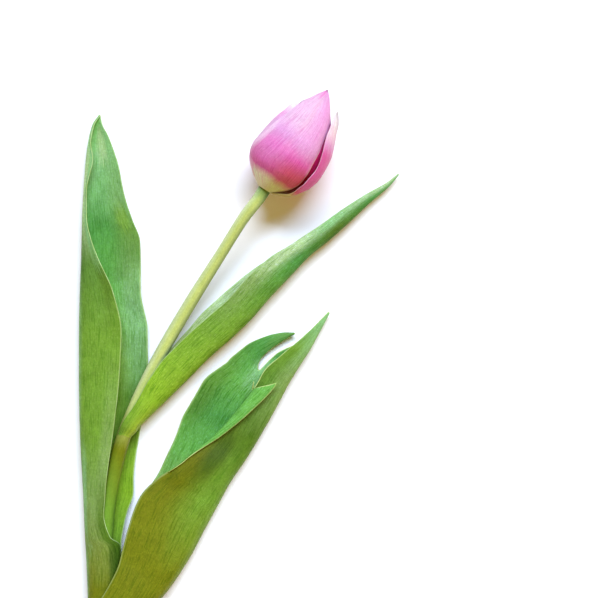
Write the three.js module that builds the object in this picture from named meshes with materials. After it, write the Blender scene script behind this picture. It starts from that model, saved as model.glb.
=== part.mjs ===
// A cut tulip lying on a flat surface: one stem, three clasping leaves and a closed bud of six tepals
// round a pistil and six stamens. Millimetres, +Z up from the surface, +Y towards the flower.
//
// Lengths are first given from the node of the upper leaf, and the whole plant is then moved so that
// its origin is under the middle of its bounding box.
import * as THREE from "three";
import { mergeVertices } from "three/addons/utils/BufferGeometryUtils.js";

// ---------------------------------------------------------------- driving dimensions
const ORIGIN = [59.4, -9.7]; // the part's origin, seen from the upper leaf's node
const LEAF_THICKNESS = 0.8;
const LEAF_ROW_STEP = 6.5; // longest step between two cross-sections of a leaf
const TEPAL_THICKNESS = 0.75;
const BUD_BASE = [72.8, 125.2, 18.6]; // where the bud sits on the stem
const BUD_HEADING = 57; // degrees from +X towards +Y
const BUD_TILT = 4; // degrees that its tip points up

// ---------------------------------------------------------------- smooth columns of a station table
// A cubic through (keys, values) that never overshoots between two stations.
function smoothColumn(keys, values) {
  const last = keys.length - 1;
  const rise = values.slice(1).map((v, i) => (v - values[i]) / (keys[i + 1] - keys[i]));
  const slope = values.map((_, i) => {
    if (i === 0) return rise[0];
    if (i === last) return rise[last - 1];
    const [before, after] = [rise[i - 1], rise[i]];
    return before * after <= 0 ? 0 : (2 * before * after) / (before + after);
  });
  return (key) => {
    let i = 0;
    while (i < last - 1 && key > keys[i + 1]) i += 1;
    const span = keys[i + 1] - keys[i];
    const t = (key - keys[i]) / span;
    const [a, b] = [t * t * (3 - 2 * t), t * (1 - t)];
    return (
      values[i] * (1 - a) + values[i + 1] * a + span * b * (slope[i] * (1 - t) - slope[i + 1] * t)
    );
  };
}

// ---------------------------------------------------------------- thin blades
// The closed solid of a curved sheet: its points, the quads between them, and its thickness at each
// point. Both faces are split the same way, every open edge gets a wall, and it is nowhere below z = 0.
function thickSheet(points, quads, thicknessAt) {
  const normals = points.map(() => new THREE.Vector3());
  const triangles = quads.flatMap(([a, b, c, d]) => [[a, b, c], [a, c, d]]);
  for (const [a, b, c] of triangles) {
    const across = points[b].clone().sub(points[a]);
    const face = across.cross(points[c].clone().sub(points[a]));
    for (const i of [a, b, c]) normals[i].add(face);
  }
  const count = points.length;
  const position = new Float32Array(count * 6);
  points.forEach((point, i) => {
    const half = normals[i].normalize().multiplyScalar(thicknessAt(i) / 2);
    const raised = point.clone();
    raised.z = Math.max(point.z, Math.abs(half.z));
    raised.clone().add(half).toArray(position, i * 3);
    raised.clone().sub(half).toArray(position, (i + count) * 3);
  });
  const index = [];
  const open = new Map(); // edges that have been met once
  for (const [a, b, c, d] of quads) {
    for (const [from, to] of [[a, b], [b, c], [c, d], [d, a]]) {
      if (!open.delete(`${to},${from}`)) open.set(`${from},${to}`, [from, to]);
    }
  }
  for (const [a, b, c] of triangles) index.push(a, b, c, count + a, count + c, count + b);
  for (const [a, b] of open.values()) index.push(b, a, count + a, b, count + a, count + b);
  const geometry = new THREE.BufferGeometry();
  geometry.setAttribute("position", new THREE.BufferAttribute(position, 3));
  return geometry.setIndex(index);
}

// ---------------------------------------------------------------- leaves
// A leaf is folded along its length like a half-open book lying on one cover. Each station gives the
// fold line's place, then for the upper (near) and the lower (far) half how far its margin reaches
// from the fold seen from above, the margin's height and the direction it points in degrees (0 level
// and outwards, 90 straight up), and last how round the fold is.
const STATION = ["x", "y", "z", "near", "nearZ", "nearAngle", "far", "farZ", "farAngle", "fold"];

// Columns of a leaf by name, against the distance along its fold line, and its frames.
function leafCourse(stations, side) {
  const keys = [0];
  for (let i = 1; i < stations.length; i += 1) {
    const [[x0, y0], [x1, y1]] = [stations[i - 1], stations[i]];
    keys.push(keys[i - 1] + Math.hypot(x1 - x0, y1 - y0));
  }
  const column = {};
  STATION.forEach((name, c) => {
    column[name] = smoothColumn(keys, stations.map((row) => row[c]));
  });
  const length = keys.at(-1);
  const across = (key) => {
    const [before, after] = [Math.max(0, key - 3), Math.min(length, key + 3)];
    const along = new THREE.Vector2(column.x(after) - column.x(before), column.y(after) - column.y(before));
    along.normalize();
    return new THREE.Vector2(along.y * side, -along.x * side);
  };
  const rows = [];
  for (let i = 1; i < keys.length; i += 1) {
    const steps = Math.ceil((keys[i] - keys[i - 1]) / LEAF_ROW_STEP);
    for (let n = 0; n < steps; n += 1) rows.push(keys[i - 1] + ((keys[i] - keys[i - 1]) * n) / steps);
  }
  rows.push(length);
  return { column, keys, rows, length, across };
}

// One half of a cross-section, from the fold to the margin, as an even curve.
function halfSection(foldZ, handle, reach, marginZ, angle) {
  const lip = THREE.MathUtils.lerp(0.4 * reach, Math.abs(handle), Math.min(1, Math.abs(angle) / 90));
  const turn = THREE.MathUtils.degToRad(angle);
  return new THREE.CubicBezierCurve(
    new THREE.Vector2(0, foldZ),
    new THREE.Vector2(0, foldZ + handle),
    new THREE.Vector2(reach - lip * Math.cos(turn), marginZ - lip * Math.sin(turn)),
    new THREE.Vector2(reach, marginZ),
  );
}

// A point of a leaf at a distance along its fold and a share from -1, the near margin, to 1, the far.
function leafPoint(course, key, share, farReach = course.column.far(key)) {
  const c = (name) => course.column[name](key);
  const half =
    share < 0
      ? halfSection(c("z"), c("fold"), c("near"), c("nearZ"), c("nearAngle"))
      : halfSection(c("z"), -c("fold"), farReach, c("farZ"), c("farAngle"));
  const flat = half.getPointAt(Math.abs(share));
  const across = course.across(key);
  return new THREE.Vector3(c("x") + across.x * flat.x, c("y") + across.y * flat.x, flat.y);
}

// Thinner at the margins than along the middle.
const leafThickness = (share) => LEAF_THICKNESS * (1 - 0.22 * share * share);

// The quads of a grid whose row i starts at point i * width.
function gridQuads(rows, width, side, kept = () => true) {
  const quads = [];
  for (let i = 0; i < rows - 1; i += 1) {
    for (let j = 0; j < width - 1; j += 1) {
      const [a, b] = [i * width + j, (i + 1) * width + j];
      if (kept(i, j)) quads.push(side > 0 ? [a, a + 1, b + 1, b] : [a, b, b + 1, a + 1]);
    }
  }
  return quads;
}

function plainLeaf(stations, side, shares) {
  const course = leafCourse(stations, side);
  const points = course.rows.flatMap((key) => shares.map((share) => leafPoint(course, key, share)));
  const quads = gridQuads(course.rows.length, shares.length, side);
  return thickSheet(points, quads, (i) => leafThickness(shares[i % shares.length]));
}

const evenShares = (count) => Array.from({ length: count + 1 }, (_, i) => (2 * i) / count - 1);

// The middle leaf on the stem: its base is a sheath round the stem, and above its mouth it opens.
const LEFT_LEAF = [
  [-16.4, -119.2, 6.3, 9.6, 6.7, -90, 9.6, 5.9, 90, 6.4],
  [-16.6, -102.7, 7.0, 12.0, 7.4, -90, 12.0, 6.6, 90, 6.4],
  [-16.9, -81.4, 7.2, 14.6, 7.6, -90, 14.6, 6.8, 90, 6.1],
  [-17.7, -62.1, 7.0, 17.2, 7.4, -85, 17.2, 5.6, 85, 5.9],
  [-18.1, -55.1, 6.8, 17.2, 8.8, -55, 17.4, 5.0, 60, 5.6],
  [-18.4, -50.5, 6.6, 13.1, 11.6, -15, 18.1, 4.0, 40, 5.6],
  [-18.9, -39.4, 6.4, 10.4, 11.8, 0, 20.9, 3.0, 30, 5.6],
  [-19.3, -30.0, 6.3, 11.4, 11.9, -3, 24.5, 2.7, 27, 5.6],
  [-19.8, -21.7, 6.2, 12.6, 12.0, -5, 25.1, 2.4, 25, 5.6],
  [-21.1, 3.7, 6.0, 17.3, 11.6, -10, 29.7, 1.0, 5, 5.6],
  [-21.6, 29.1, 6.0, 20.5, 11.0, -10, 33.9, 1.2, 0, 5.6],
  [-21.6, 54.5, 6.0, 21.7, 11.0, -10, 34.2, 4.0, 30, 5.6],
  [-21.1, 74.8, 6.0, 16.9, 11.0, 0, 30.2, 4.0, 25, 5.4],
  [-20.4, 92.6, 5.8, 8.1, 10.6, 20, 29.1, 1.5, -30, 5.0],
  [-20.2, 101.0, 5.6, 4.8, 9.9, 40, 28.5, 1.5, -34, 4.7],
  [-20.0, 110.5, 5.4, 2.4, 9.0, 60, 24.9, 1.5, -35, 4.4],
  [-19.3, 125.7, 5.0, 1.4, 8.0, 75, 19.5, 2.5, 0, 3.8],
  [-18.3, 141.0, 4.8, 3.6, 7.6, 20, 15.8, 3.5, 20, 3.2],
  [-16.8, 151.2, 4.8, 0.9, 6.6, 70, 11.2, 4.0, 20, 2.6],
  [-14.8, 159.2, 4.8, 0.6, 6.0, 70, 6.0, 4.5, 10, 1.6],
  [-11.7, 163.8, 4.8, 0.4, 5.2, 30, 0.4, 4.6, 0, 0.6],
];

// The top leaf on the stem: narrow, clasping, and folded all the way to its tip.
const UPPER_LEAF = [
  [4.8, -1.5, 6.8, 8.8, 9.6, -60, 8.8, 3.9, 50, 4.9],
  [8.8, 5.6, 6.8, 8.0, 11.6, -25, 8.2, 2.8, 25, 5.2],
  [13.9, 10.9, 6.8, 9.3, 12.2, -10, 9.6, 2.6, 10, 5.2],
  [24.0, 20.6, 6.8, 13.4, 12.4, -5, 13.0, 2.8, 0, 5.0],
  [34.2, 30.7, 6.8, 15.5, 12.0, 0, 16.4, 2.8, 5, 5.0],
  [44.3, 40.9, 7.0, 15.4, 11.6, 0, 17.4, 3.0, 10, 5.0],
  [54.5, 49.8, 7.2, 15.5, 11.6, 5, 19.2, 3.6, 15, 5.0],
  [64.6, 59.4, 7.2, 14.9, 11.6, 5, 18.9, 4.0, 15, 5.0],
  [74.8, 71.1, 7.2, 14.7, 11.6, 0, 16.6, 4.4, 15, 4.8],
  [84.9, 81.7, 7.0, 13.6, 10.6, -15, 13.4, 4.4, 15, 4.6],
  [95.1, 92.4, 6.6, 9.6, 10.0, -15, 9.4, 4.4, 15, 4.2],
  [105.3, 100.6, 6.2, 8.4, 9.2, -15, 8.2, 4.2, 15, 3.6],
  [115.4, 109.7, 5.6, 7.0, 8.0, -15, 6.6, 3.8, 15, 3.0],
  [125.7, 119.5, 4.8, 4.4, 6.4, -15, 4.2, 3.4, 15, 2.2],
  [135.9, 128.2, 3.8, 1.9, 4.6, -15, 1.8, 3.0, 15, 1.2],
  [140.5, 133.8, 3.2, 0.4, 3.5, 0, 0.4, 2.9, 0, 0.4],
];

// The lowest leaf: its base wraps the middle leaf's sheath, and its end is torn.
const RIGHT_LEAF = [
  [-7.3, -151.5, 5.3, 9.5, 5.7, -90, 9.5, 4.9, 90, 6.1],
  [-5.8, -133.4, 6.2, 12.0, 6.7, -90, 12.0, 5.7, 90, 7.0],
  [-2.5, -117.9, 6.8, 17.0, 7.2, -90, 17.0, 6.0, 90, 8.5],
  [4.7, -101.6, 7.0, 22.5, 14.2, -30, 20.5, 0.8, 10, 8.6],
  [13.8, -88.4, 6.8, 24.4, 15.2, -10, 22.5, 0.7, 0, 8.0],
  [23.9, -76.3, 6.2, 29.2, 14.8, 0, 25.4, 0.7, 0, 6.6],
  [34.5, -60.2, 5.6, 34.4, 14.0, 0, 31.0, 0.7, 0, 5.4],
  [41.6, -46.6, 5.2, 36.1, 12.8, 0, 35.0, 0.7, 0, 5.0],
  [47.7, -35.4, 5.0, 32.6, 11.8, 0, 34.0, 0.8, 5, 4.8],
  [53.8, -24.2, 5.0, 25.4, 10.6, -20, 34.8, 1.2, 10, 4.8],
  [64.0, -8.9, 5.0, 19.4, 9.0, -35, 38.7, 1.8, 15, 4.6],
  [74.2, 8.4, 5.0, 15.6, 7.6, -45, 38.8, 1.8, 10, 4.4],
  [82.3, 23.4, 5.0, 15.0, 7.6, -30, 32.5, 2.0, 0, 4.0],
  [83.5, 25.8, 5.0, 14.1, 8.4, 0, 31.6, 2.0, 0, 4.0],
  [89.4, 35.6, 4.8, 10.7, 8.0, 0, 13.6, 2.2, 0, 3.6],
  [94.5, 43.5, 4.6, 7.8, 7.2, 0, 7.4, 2.4, 0, 2.8],
  [100.1, 53.7, 4.2, 3.8, 5.6, 0, 3.6, 2.8, 0, 1.6],
  [105.2, 63.3, 3.6, 0.4, 4.0, 0, 0.4, 3.2, 0, 0.4],
];
const NEAR_TEAR = { station: 12, columns: 4, back: 7.3, gap: 0.8, before: 22, after: 14 };
const FAR_TEAR = { station: 13, share: 0.545, reachPast: [15.8, 12.6, 7.2, 3.6, 0.4] };
// The torn-off strip past the far tear: both its edges, from the tear to its tip.
const STRIP_INNER = [[68.7, 36.1], [70.1, 39.6], [73.6, 43.4], [78.9, 47.4], [84.3, 50.8], [87.5, 52.4]];
const STRIP_OUTER = [[61.1, 45.1], [64.2, 47.4], [70.3, 50.4], [76.5, 52.4], [82.6, 53.4], [87.2, 53.2]];
const STRIP_Z = 2.0;

// The lowest leaf has two tears: one in from its near margin, with a flap that slants back, and one
// along the far half that sets a strip free.
function tornLeaf() {
  const course = leafCourse(RIGHT_LEAF, -1);
  const [nearColumns, farColumns, stripColumns] = [6, 4, 3];
  const nearRow = course.rows.indexOf(course.keys[NEAR_TEAR.station]);
  const farRow = course.rows.indexOf(course.keys[FAR_TEAR.station]);
  const reachPast = smoothColumn(course.keys.slice(FAR_TEAR.station), FAR_TEAR.reachPast);
  const points = [];
  const shares = [];
  const put = (point, share) => {
    shares.push(share);
    return points.push(point) - 1;
  };
  const slant = (key, column) => {
    const reach = Math.max(0, 1 - column / NEAR_TEAR.columns);
    const past = key - course.keys[NEAR_TEAR.station];
    const near = past < 0 ? 1 + past / NEAR_TEAR.before : 1 - past / NEAR_TEAR.after;
    return key - NEAR_TEAR.back * reach * Math.max(0, near);
  };
  const lines = course.rows.map((key, i) => {
    const line = [];
    for (let j = 0; j < nearColumns; j += 1) {
      const share = j / nearColumns - 1;
      line.push(put(leafPoint(course, slant(key, j), share), share));
    }
    const torn = i > farRow;
    for (let j = 0; j <= farColumns; j += 1) {
      const share = (j / farColumns) * (torn ? 1 : FAR_TEAR.share);
      const reach = torn ? reachPast(key) : course.column.far(key);
      line.push(put(leafPoint(course, key, share, reach), share));
    }
    for (let j = 1; j <= stripColumns && !torn; j += 1) {
      const share = FAR_TEAR.share + ((1 - FAR_TEAR.share) * j) / stripColumns;
      line.push(put(leafPoint(course, key, share), share));
    }
    return line;
  });
  // the other lip of the near tear
  const lip = lines[nearRow].map((at, j) => {
    if (j >= NEAR_TEAR.columns) return at;
    const apart = NEAR_TEAR.gap * (1 - j / NEAR_TEAR.columns);
    const key = slant(course.rows[nearRow], j) + apart;
    return put(leafPoint(course, key, shares[at]), shares[at]);
  });
  const quads = [];
  const join = (from, to) => {
    for (let j = 0; j < Math.min(from.length, to.length) - 1; j += 1) {
      quads.push([from[j], to[j], to[j + 1], from[j + 1]]);
    }
  };
  lines.slice(1).forEach((line, i) => join(i === nearRow ? lip : lines[i], line));
  let strip = lines[farRow].slice(nearColumns + farColumns);
  STRIP_INNER.forEach(([x, y], i) => {
    const inner = new THREE.Vector3(x, y, STRIP_Z);
    const outer = new THREE.Vector3(...STRIP_OUTER[i], STRIP_Z);
    const next = strip.map((_, j) => {
      const point = inner.clone().lerp(outer, j / stripColumns);
      point.z += 1.2 * Math.sin((Math.PI * j) / stripColumns) * (1 - i / STRIP_INNER.length);
      return put(point, 0.8);
    });
    join(strip, next);
    strip = next;
  });
  return thickSheet(points, quads, (i) => leafThickness(shares[i]));
}

// ---------------------------------------------------------------- stem
const STEM_COURSE = [
  [-11.7, -192.8, 4.0],
  [-12.0, -149.0, 5.3],
  [-11.5, -113.1, 6.4],
  [-10.2, -81.5, 7.0],
  [-8.7, -54.6, 7.0],
  [-6.7, -31.8, 6.8],
  [-2.6, -11.5, 6.7],
  [0.9, 0.7, 7.0],
  [9.1, 21.1, 7.4],
  [20.3, 43.4, 8.2],
  [34.6, 67.8, 9.6],
  [50.0, 91.9, 13.2],
  [62.5, 111.2, 17.0],
  [69.6, 120.3, 18.2],
  BUD_BASE,
];

// A turned shape bent along a curve: its own +Y runs along the curve.
function bentLathe(outline, curve, sides) {
  const geometry = lathe(outline, sides);
  const place = geometry.getAttribute("position");
  const length = curve.getLength();
  for (let i = 0; i < place.count; i += 1) {
    const along = THREE.MathUtils.clamp(place.getY(i) / length, 0, 1);
    const tangent = curve.getTangentAt(along);
    const sideways = new THREE.Vector3().crossVectors(tangent, new THREE.Vector3(0, 0, 1)).normalize();
    const upwards = new THREE.Vector3().crossVectors(sideways, tangent);
    const point = curve.getPointAt(along);
    point.addScaledVector(tangent, place.getY(i) - along * length);
    point.addScaledVector(sideways, place.getX(i)).addScaledVector(upwards, place.getZ(i));
    place.setXYZ(i, point.x, point.y, point.z);
  }
  return geometry;
}

// The head of the stem inside the bud: radius and rise above the bud's base.
const RECEPTACLE = [[3.5, 0.6], [4.9, 1.8], [5.3, 2.2], [5.2, 2.6], [0, 2.7]];

function stemGeometry() {
  const curve = new THREE.CatmullRomCurve3(STEM_COURSE.map((p) => new THREE.Vector3(...p)));
  curve.arcLengthDivisions = 600;
  const length = curve.getLength();
  const radius = smoothColumn([0, 0.4, 0.55, 0.62, 0.8, 0.97, 1], [3.9, 3.8, 3.75, 3.4, 3.2, 3.3, 3.3]);
  const outline = [[0, 0]];
  const steps = 44;
  for (let i = 0; i <= steps; i += 1) outline.push([radius(i / steps), (length * i) / steps]);
  for (const [r, rise] of RECEPTACLE) outline.push([r, length + rise]);
  return bentLathe(outline, curve, 12);
}

// ---------------------------------------------------------------- bud
// The bud's own frame: Y along its axis, Z to the upper side, X to the side of tepal_outer_right.
// Radius of a whorl of tepals at each height above the bud's base.
const OUTER_RADIUS = smoothColumn(
  [0, 2, 5, 8, 12, 20, 27, 33, 38, 43, 48, 53, 57.5],
  [4.3, 7.1, 10.8, 13.7, 16.4, 18.5, 18.3, 17.0, 15.4, 13.2, 10.6, 7.6, 4.6],
);
const INNER_RADIUS = smoothColumn(
  [2.9, 5, 9, 13, 20, 27, 33, 38, 43, 48, 52],
  [4.8, 8.4, 12.6, 14.9, 16.7, 16.5, 15.2, 13.4, 10.8, 7.4, 4.2],
);
// Half the width of a tepal, measured round the bud, against its share of the length.
const POINTED = smoothColumn(
  [0, 0.08, 0.18, 0.35, 0.54, 0.7, 0.86, 0.95, 1],
  [3.3, 8.2, 12.9, 15.0, 15.2, 12.6, 7.3, 2.9, 0.5],
);
const BLUNT = smoothColumn(
  [0, 0.08, 0.2, 0.38, 0.6, 0.8, 0.9, 0.96, 1],
  [3.6, 8.8, 14.6, 17.8, 17.6, 14.8, 9.6, 4.6, 0.5],
);
const SLIM = smoothColumn(
  [0, 0.1, 0.25, 0.45, 0.65, 0.85, 0.95, 1],
  [1.9, 6.4, 10.4, 12.4, 12.0, 7.6, 3.4, 0.5],
);

function tepalGeometry({ angle, foot, length, lean, close = 0, radius, halfWidth }) {
  const [rows, columns] = [15, 8];
  const points = [];
  for (let i = 0; i <= rows; i += 1) {
    const t = i / rows;
    const height = foot + (length - foot) * t;
    const r = radius(height) + lean * (1 - Math.exp(-6 * t)) - close * t * t;
    for (let j = 0; j <= columns; j += 1) {
      const v = (2 * j) / columns - 1;
      const turn = THREE.MathUtils.degToRad(angle) + (halfWidth(t) / r) * v;
      points.push(new THREE.Vector3(r * Math.sin(turn), height, r * Math.cos(turn) + BUD_LIFT));
    }
  }
  const quads = gridQuads(rows + 1, columns + 1, 1);
  return thickSheet(points, quads, () => TEPAL_THICKNESS).translate(0, 0, -BUD_LIFT);
}

const BUD_LIFT = 100; // tepals are made this high, clear of the surface
const outer = { foot: 0.2, radius: OUTER_RADIUS };
const inner = { foot: 3.2, length: 52, radius: INNER_RADIUS, halfWidth: SLIM };
const TEPALS = {
  tepal_outer_front: { ...outer, angle: 0, length: 57.5, lean: 0, halfWidth: POINTED },
  tepal_outer_right: { ...outer, angle: 108, length: 52.3, lean: 1.6, halfWidth: BLUNT },
  tepal_outer_left: { ...outer, angle: -108, length: 46.5, lean: -0.7, close: 1.4, halfWidth: BLUNT },
  tepal_inner_right: { ...inner, angle: 56, lean: 0 },
  tepal_inner_left: { ...inner, angle: -56, lean: -1.3 },
  tepal_inner_back: { ...inner, angle: 180, lean: -1 },
};

// ---------------------------------------------------------------- inside the bud
// Radius and height, from the top of the receptacle to the stigma.
const PISTIL = [[0, 3.0], [1.9, 3.0], [2.5, 6], [2.7, 12], [2.4, 19], [1.8, 22], [2.9, 24], [2.6, 25.6], [0, 26]];
const FILAMENT = [[0, 3.1], [0.6, 3.1], [0.6, 8], [0.45, 12.5], [0, 12.7]];
const ANTHER = [[0, 13.0], [0.9, 13.3], [1.4, 16], [1.3, 21], [0.7, 24], [0, 24.4]];
const STAMEN_COUNT = 6;
const STAMEN_RADIUS = 3.2;
const STAMEN_LEAN = 6; // degrees

function lathe(outline, sides) {
  const turned = new THREE.LatheGeometry(outline.map(([r, y]) => new THREE.Vector2(r, y)), sides);
  turned.deleteAttribute("normal");
  turned.deleteAttribute("uv");
  return mergeVertices(turned, 1e-4);
}

// ---------------------------------------------------------------- assembly
const plant = new THREE.Group();
const GREEN = new THREE.MeshStandardMaterial({ color: 0x5f9a32, roughness: 0.5 });
const STEM_GREEN = new THREE.MeshStandardMaterial({ color: 0xb4bf5a, roughness: 0.5 });
const PISTIL_GREEN = new THREE.MeshStandardMaterial({ color: 0xcfd98a, roughness: 0.6 });
const ANTHER_DARK = new THREE.MeshStandardMaterial({ color: 0x3a2840, roughness: 0.9 });
const PINK = new THREE.MeshStandardMaterial({ color: 0xe06aa8, roughness: 0.5 });

function addTo(group, name, geometry, material) {
  const mesh = new THREE.Mesh(geometry, material);
  mesh.name = name;
  group.add(mesh);
  return mesh;
}

addTo(plant, "stem", stemGeometry(), STEM_GREEN);
addTo(plant, "leaf_left", plainLeaf(LEFT_LEAF, 1, evenShares(12)), GREEN);
addTo(plant, "leaf_upper", plainLeaf(UPPER_LEAF, -1, evenShares(10)), GREEN);
addTo(plant, "leaf_right", tornLeaf(), GREEN);

const bud = new THREE.Group();
bud.position.set(...BUD_BASE);
bud.rotation.order = "ZXY";
bud.rotation.set(THREE.MathUtils.degToRad(BUD_TILT), 0, THREE.MathUtils.degToRad(BUD_HEADING - 90));
for (const [name, tepal] of Object.entries(TEPALS)) addTo(bud, name, tepalGeometry(tepal), PINK);
addTo(bud, "pistil", lathe(PISTIL, 10), PISTIL_GREEN);
for (let i = 0; i < STAMEN_COUNT; i += 1) {
  const stamen = new THREE.Group();
  const turn = ((i + 0.5) * 2 * Math.PI) / STAMEN_COUNT;
  stamen.position.set(STAMEN_RADIUS * Math.sin(turn), 0, STAMEN_RADIUS * Math.cos(turn));
  const lean = THREE.MathUtils.degToRad(STAMEN_LEAN);
  stamen.rotation.set(lean * Math.cos(turn), 0, -lean * Math.sin(turn));
  addTo(stamen, `filament_${i + 1}`, lathe(FILAMENT, 6), PISTIL_GREEN);
  addTo(stamen, `anther_${i + 1}`, lathe(ANTHER, 7), ANTHER_DARK);
  bud.add(stamen);
}
plant.add(bud);
plant.position.set(-ORIGIN[0], -ORIGIN[1], 0);

const part = new THREE.Group();
part.add(plant);
export default part;
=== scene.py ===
"""Cut tulip lying on a pale table: closed bud, curved stem and three clasping leaves."""

import math

import bpy
import numpy as np
from bpy.props import FloatProperty, FloatVectorProperty, PointerProperty
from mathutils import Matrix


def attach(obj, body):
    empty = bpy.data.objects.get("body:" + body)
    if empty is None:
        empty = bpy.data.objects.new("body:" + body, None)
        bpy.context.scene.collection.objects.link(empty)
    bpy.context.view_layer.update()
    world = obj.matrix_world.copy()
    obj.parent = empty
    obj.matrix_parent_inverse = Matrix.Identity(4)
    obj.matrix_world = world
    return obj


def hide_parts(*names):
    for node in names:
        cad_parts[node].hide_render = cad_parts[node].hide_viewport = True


bl_info = {
    "name": "Cut Tulip",
    "version": (1, 0, 0),
    "blender": (4, 5, 0),
    "location": "View3D > Sidebar > Tulip",
    "description": "Builds a cut tulip with petals, leaves, stem and the organs inside its bud",
    "category": "Add Mesh",
}

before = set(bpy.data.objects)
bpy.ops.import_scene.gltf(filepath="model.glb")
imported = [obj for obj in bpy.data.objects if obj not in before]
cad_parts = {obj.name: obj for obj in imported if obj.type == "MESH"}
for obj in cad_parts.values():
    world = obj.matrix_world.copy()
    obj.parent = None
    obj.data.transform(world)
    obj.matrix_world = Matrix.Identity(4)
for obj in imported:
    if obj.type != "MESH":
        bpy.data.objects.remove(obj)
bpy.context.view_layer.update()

MM = 0.001
BODY = "root"
# The part's origin, in millimetres from the upper leaf's node, which all courses are given from.
ORIGIN = np.array([59.4, -9.7, 0.0])

# Stations of a leaf along its fold: the fold's place, then for the near (upper) and far (lower) half
# the margin's reach seen from above, its height and its direction in degrees, and the fold's roundness.
STATION = ("x", "y", "z", "near", "near_z", "near_angle", "far", "far_z", "far_angle", "fold")
LEFT_LEAF = (
    (-16.4, -119.2, 6.3, 9.6, 6.7, -90, 9.6, 5.9, 90, 6.4),
    (-16.6, -102.7, 7.0, 12.0, 7.4, -90, 12.0, 6.6, 90, 6.4),
    (-16.9, -81.4, 7.2, 14.6, 7.6, -90, 14.6, 6.8, 90, 6.1),
    (-17.7, -62.1, 7.0, 17.2, 7.4, -85, 17.2, 5.6, 85, 5.9),
    (-18.1, -55.1, 6.8, 17.2, 8.8, -55, 17.4, 5.0, 60, 5.6),
    (-18.4, -50.5, 6.6, 13.1, 11.6, -15, 18.1, 4.0, 40, 5.6),
    (-18.9, -39.4, 6.4, 10.4, 11.8, 0, 20.9, 3.0, 30, 5.6),
    (-19.3, -30.0, 6.3, 11.4, 11.9, -3, 24.5, 2.7, 27, 5.6),
    (-19.8, -21.7, 6.2, 12.6, 12.0, -5, 25.1, 2.4, 25, 5.6),
    (-21.1, 3.7, 6.0, 17.3, 11.6, -10, 29.7, 1.0, 5, 5.6),
    (-21.6, 29.1, 6.0, 20.5, 11.0, -10, 33.9, 1.2, 0, 5.6),
    (-21.6, 54.5, 6.0, 21.7, 11.0, -10, 34.2, 4.0, 30, 5.6),
    (-21.1, 74.8, 6.0, 16.9, 11.0, 0, 30.2, 4.0, 25, 5.4),
    (-20.4, 92.6, 5.8, 8.1, 10.6, 20, 29.1, 1.5, -30, 5.0),
    (-20.2, 101.0, 5.6, 4.8, 9.9, 40, 28.5, 1.5, -34, 4.7),
    (-20.0, 110.5, 5.4, 2.4, 9.0, 60, 24.9, 1.5, -35, 4.4),
    (-19.3, 125.7, 5.0, 1.4, 8.0, 75, 19.5, 2.5, 0, 3.8),
    (-18.3, 141.0, 4.8, 3.6, 7.6, 20, 15.8, 3.5, 20, 3.2),
    (-16.8, 151.2, 4.8, 0.9, 6.6, 70, 11.2, 4.0, 20, 2.6),
    (-14.8, 159.2, 4.8, 0.6, 6.0, 70, 6.0, 4.5, 10, 1.6),
    (-11.7, 163.8, 4.8, 0.4, 5.2, 30, 0.4, 4.6, 0, 0.6),
)
UPPER_LEAF = (
    (4.8, -1.5, 6.8, 8.8, 9.6, -60, 8.8, 3.9, 50, 4.9),
    (8.8, 5.6, 6.8, 8.0, 11.6, -25, 8.2, 2.8, 25, 5.2),
    (13.9, 10.9, 6.8, 9.3, 12.2, -10, 9.6, 2.6, 10, 5.2),
    (24.0, 20.6, 6.8, 13.4, 12.4, -5, 13.0, 2.8, 0, 5.0),
    (34.2, 30.7, 6.8, 15.5, 12.0, 0, 16.4, 2.8, 5, 5.0),
    (44.3, 40.9, 7.0, 15.4, 11.6, 0, 17.4, 3.0, 10, 5.0),
    (54.5, 49.8, 7.2, 15.5, 11.6, 5, 19.2, 3.6, 15, 5.0),
    (64.6, 59.4, 7.2, 14.9, 11.6, 5, 18.9, 4.0, 15, 5.0),
    (74.8, 71.1, 7.2, 14.7, 11.6, 0, 16.6, 4.4, 15, 4.8),
    (84.9, 81.7, 7.0, 13.6, 10.6, -15, 13.4, 4.4, 15, 4.6),
    (95.1, 92.4, 6.6, 9.6, 10.0, -15, 9.4, 4.4, 15, 4.2),
    (105.3, 100.6, 6.2, 8.4, 9.2, -15, 8.2, 4.2, 15, 3.6),
    (115.4, 109.7, 5.6, 7.0, 8.0, -15, 6.6, 3.8, 15, 3.0),
    (125.7, 119.5, 4.8, 4.4, 6.4, -15, 4.2, 3.4, 15, 2.2),
    (135.9, 128.2, 3.8, 1.9, 4.6, -15, 1.8, 3.0, 15, 1.2),
    (140.5, 133.8, 3.2, 0.4, 3.5, 0, 0.4, 2.9, 0, 0.4),
)
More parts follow.
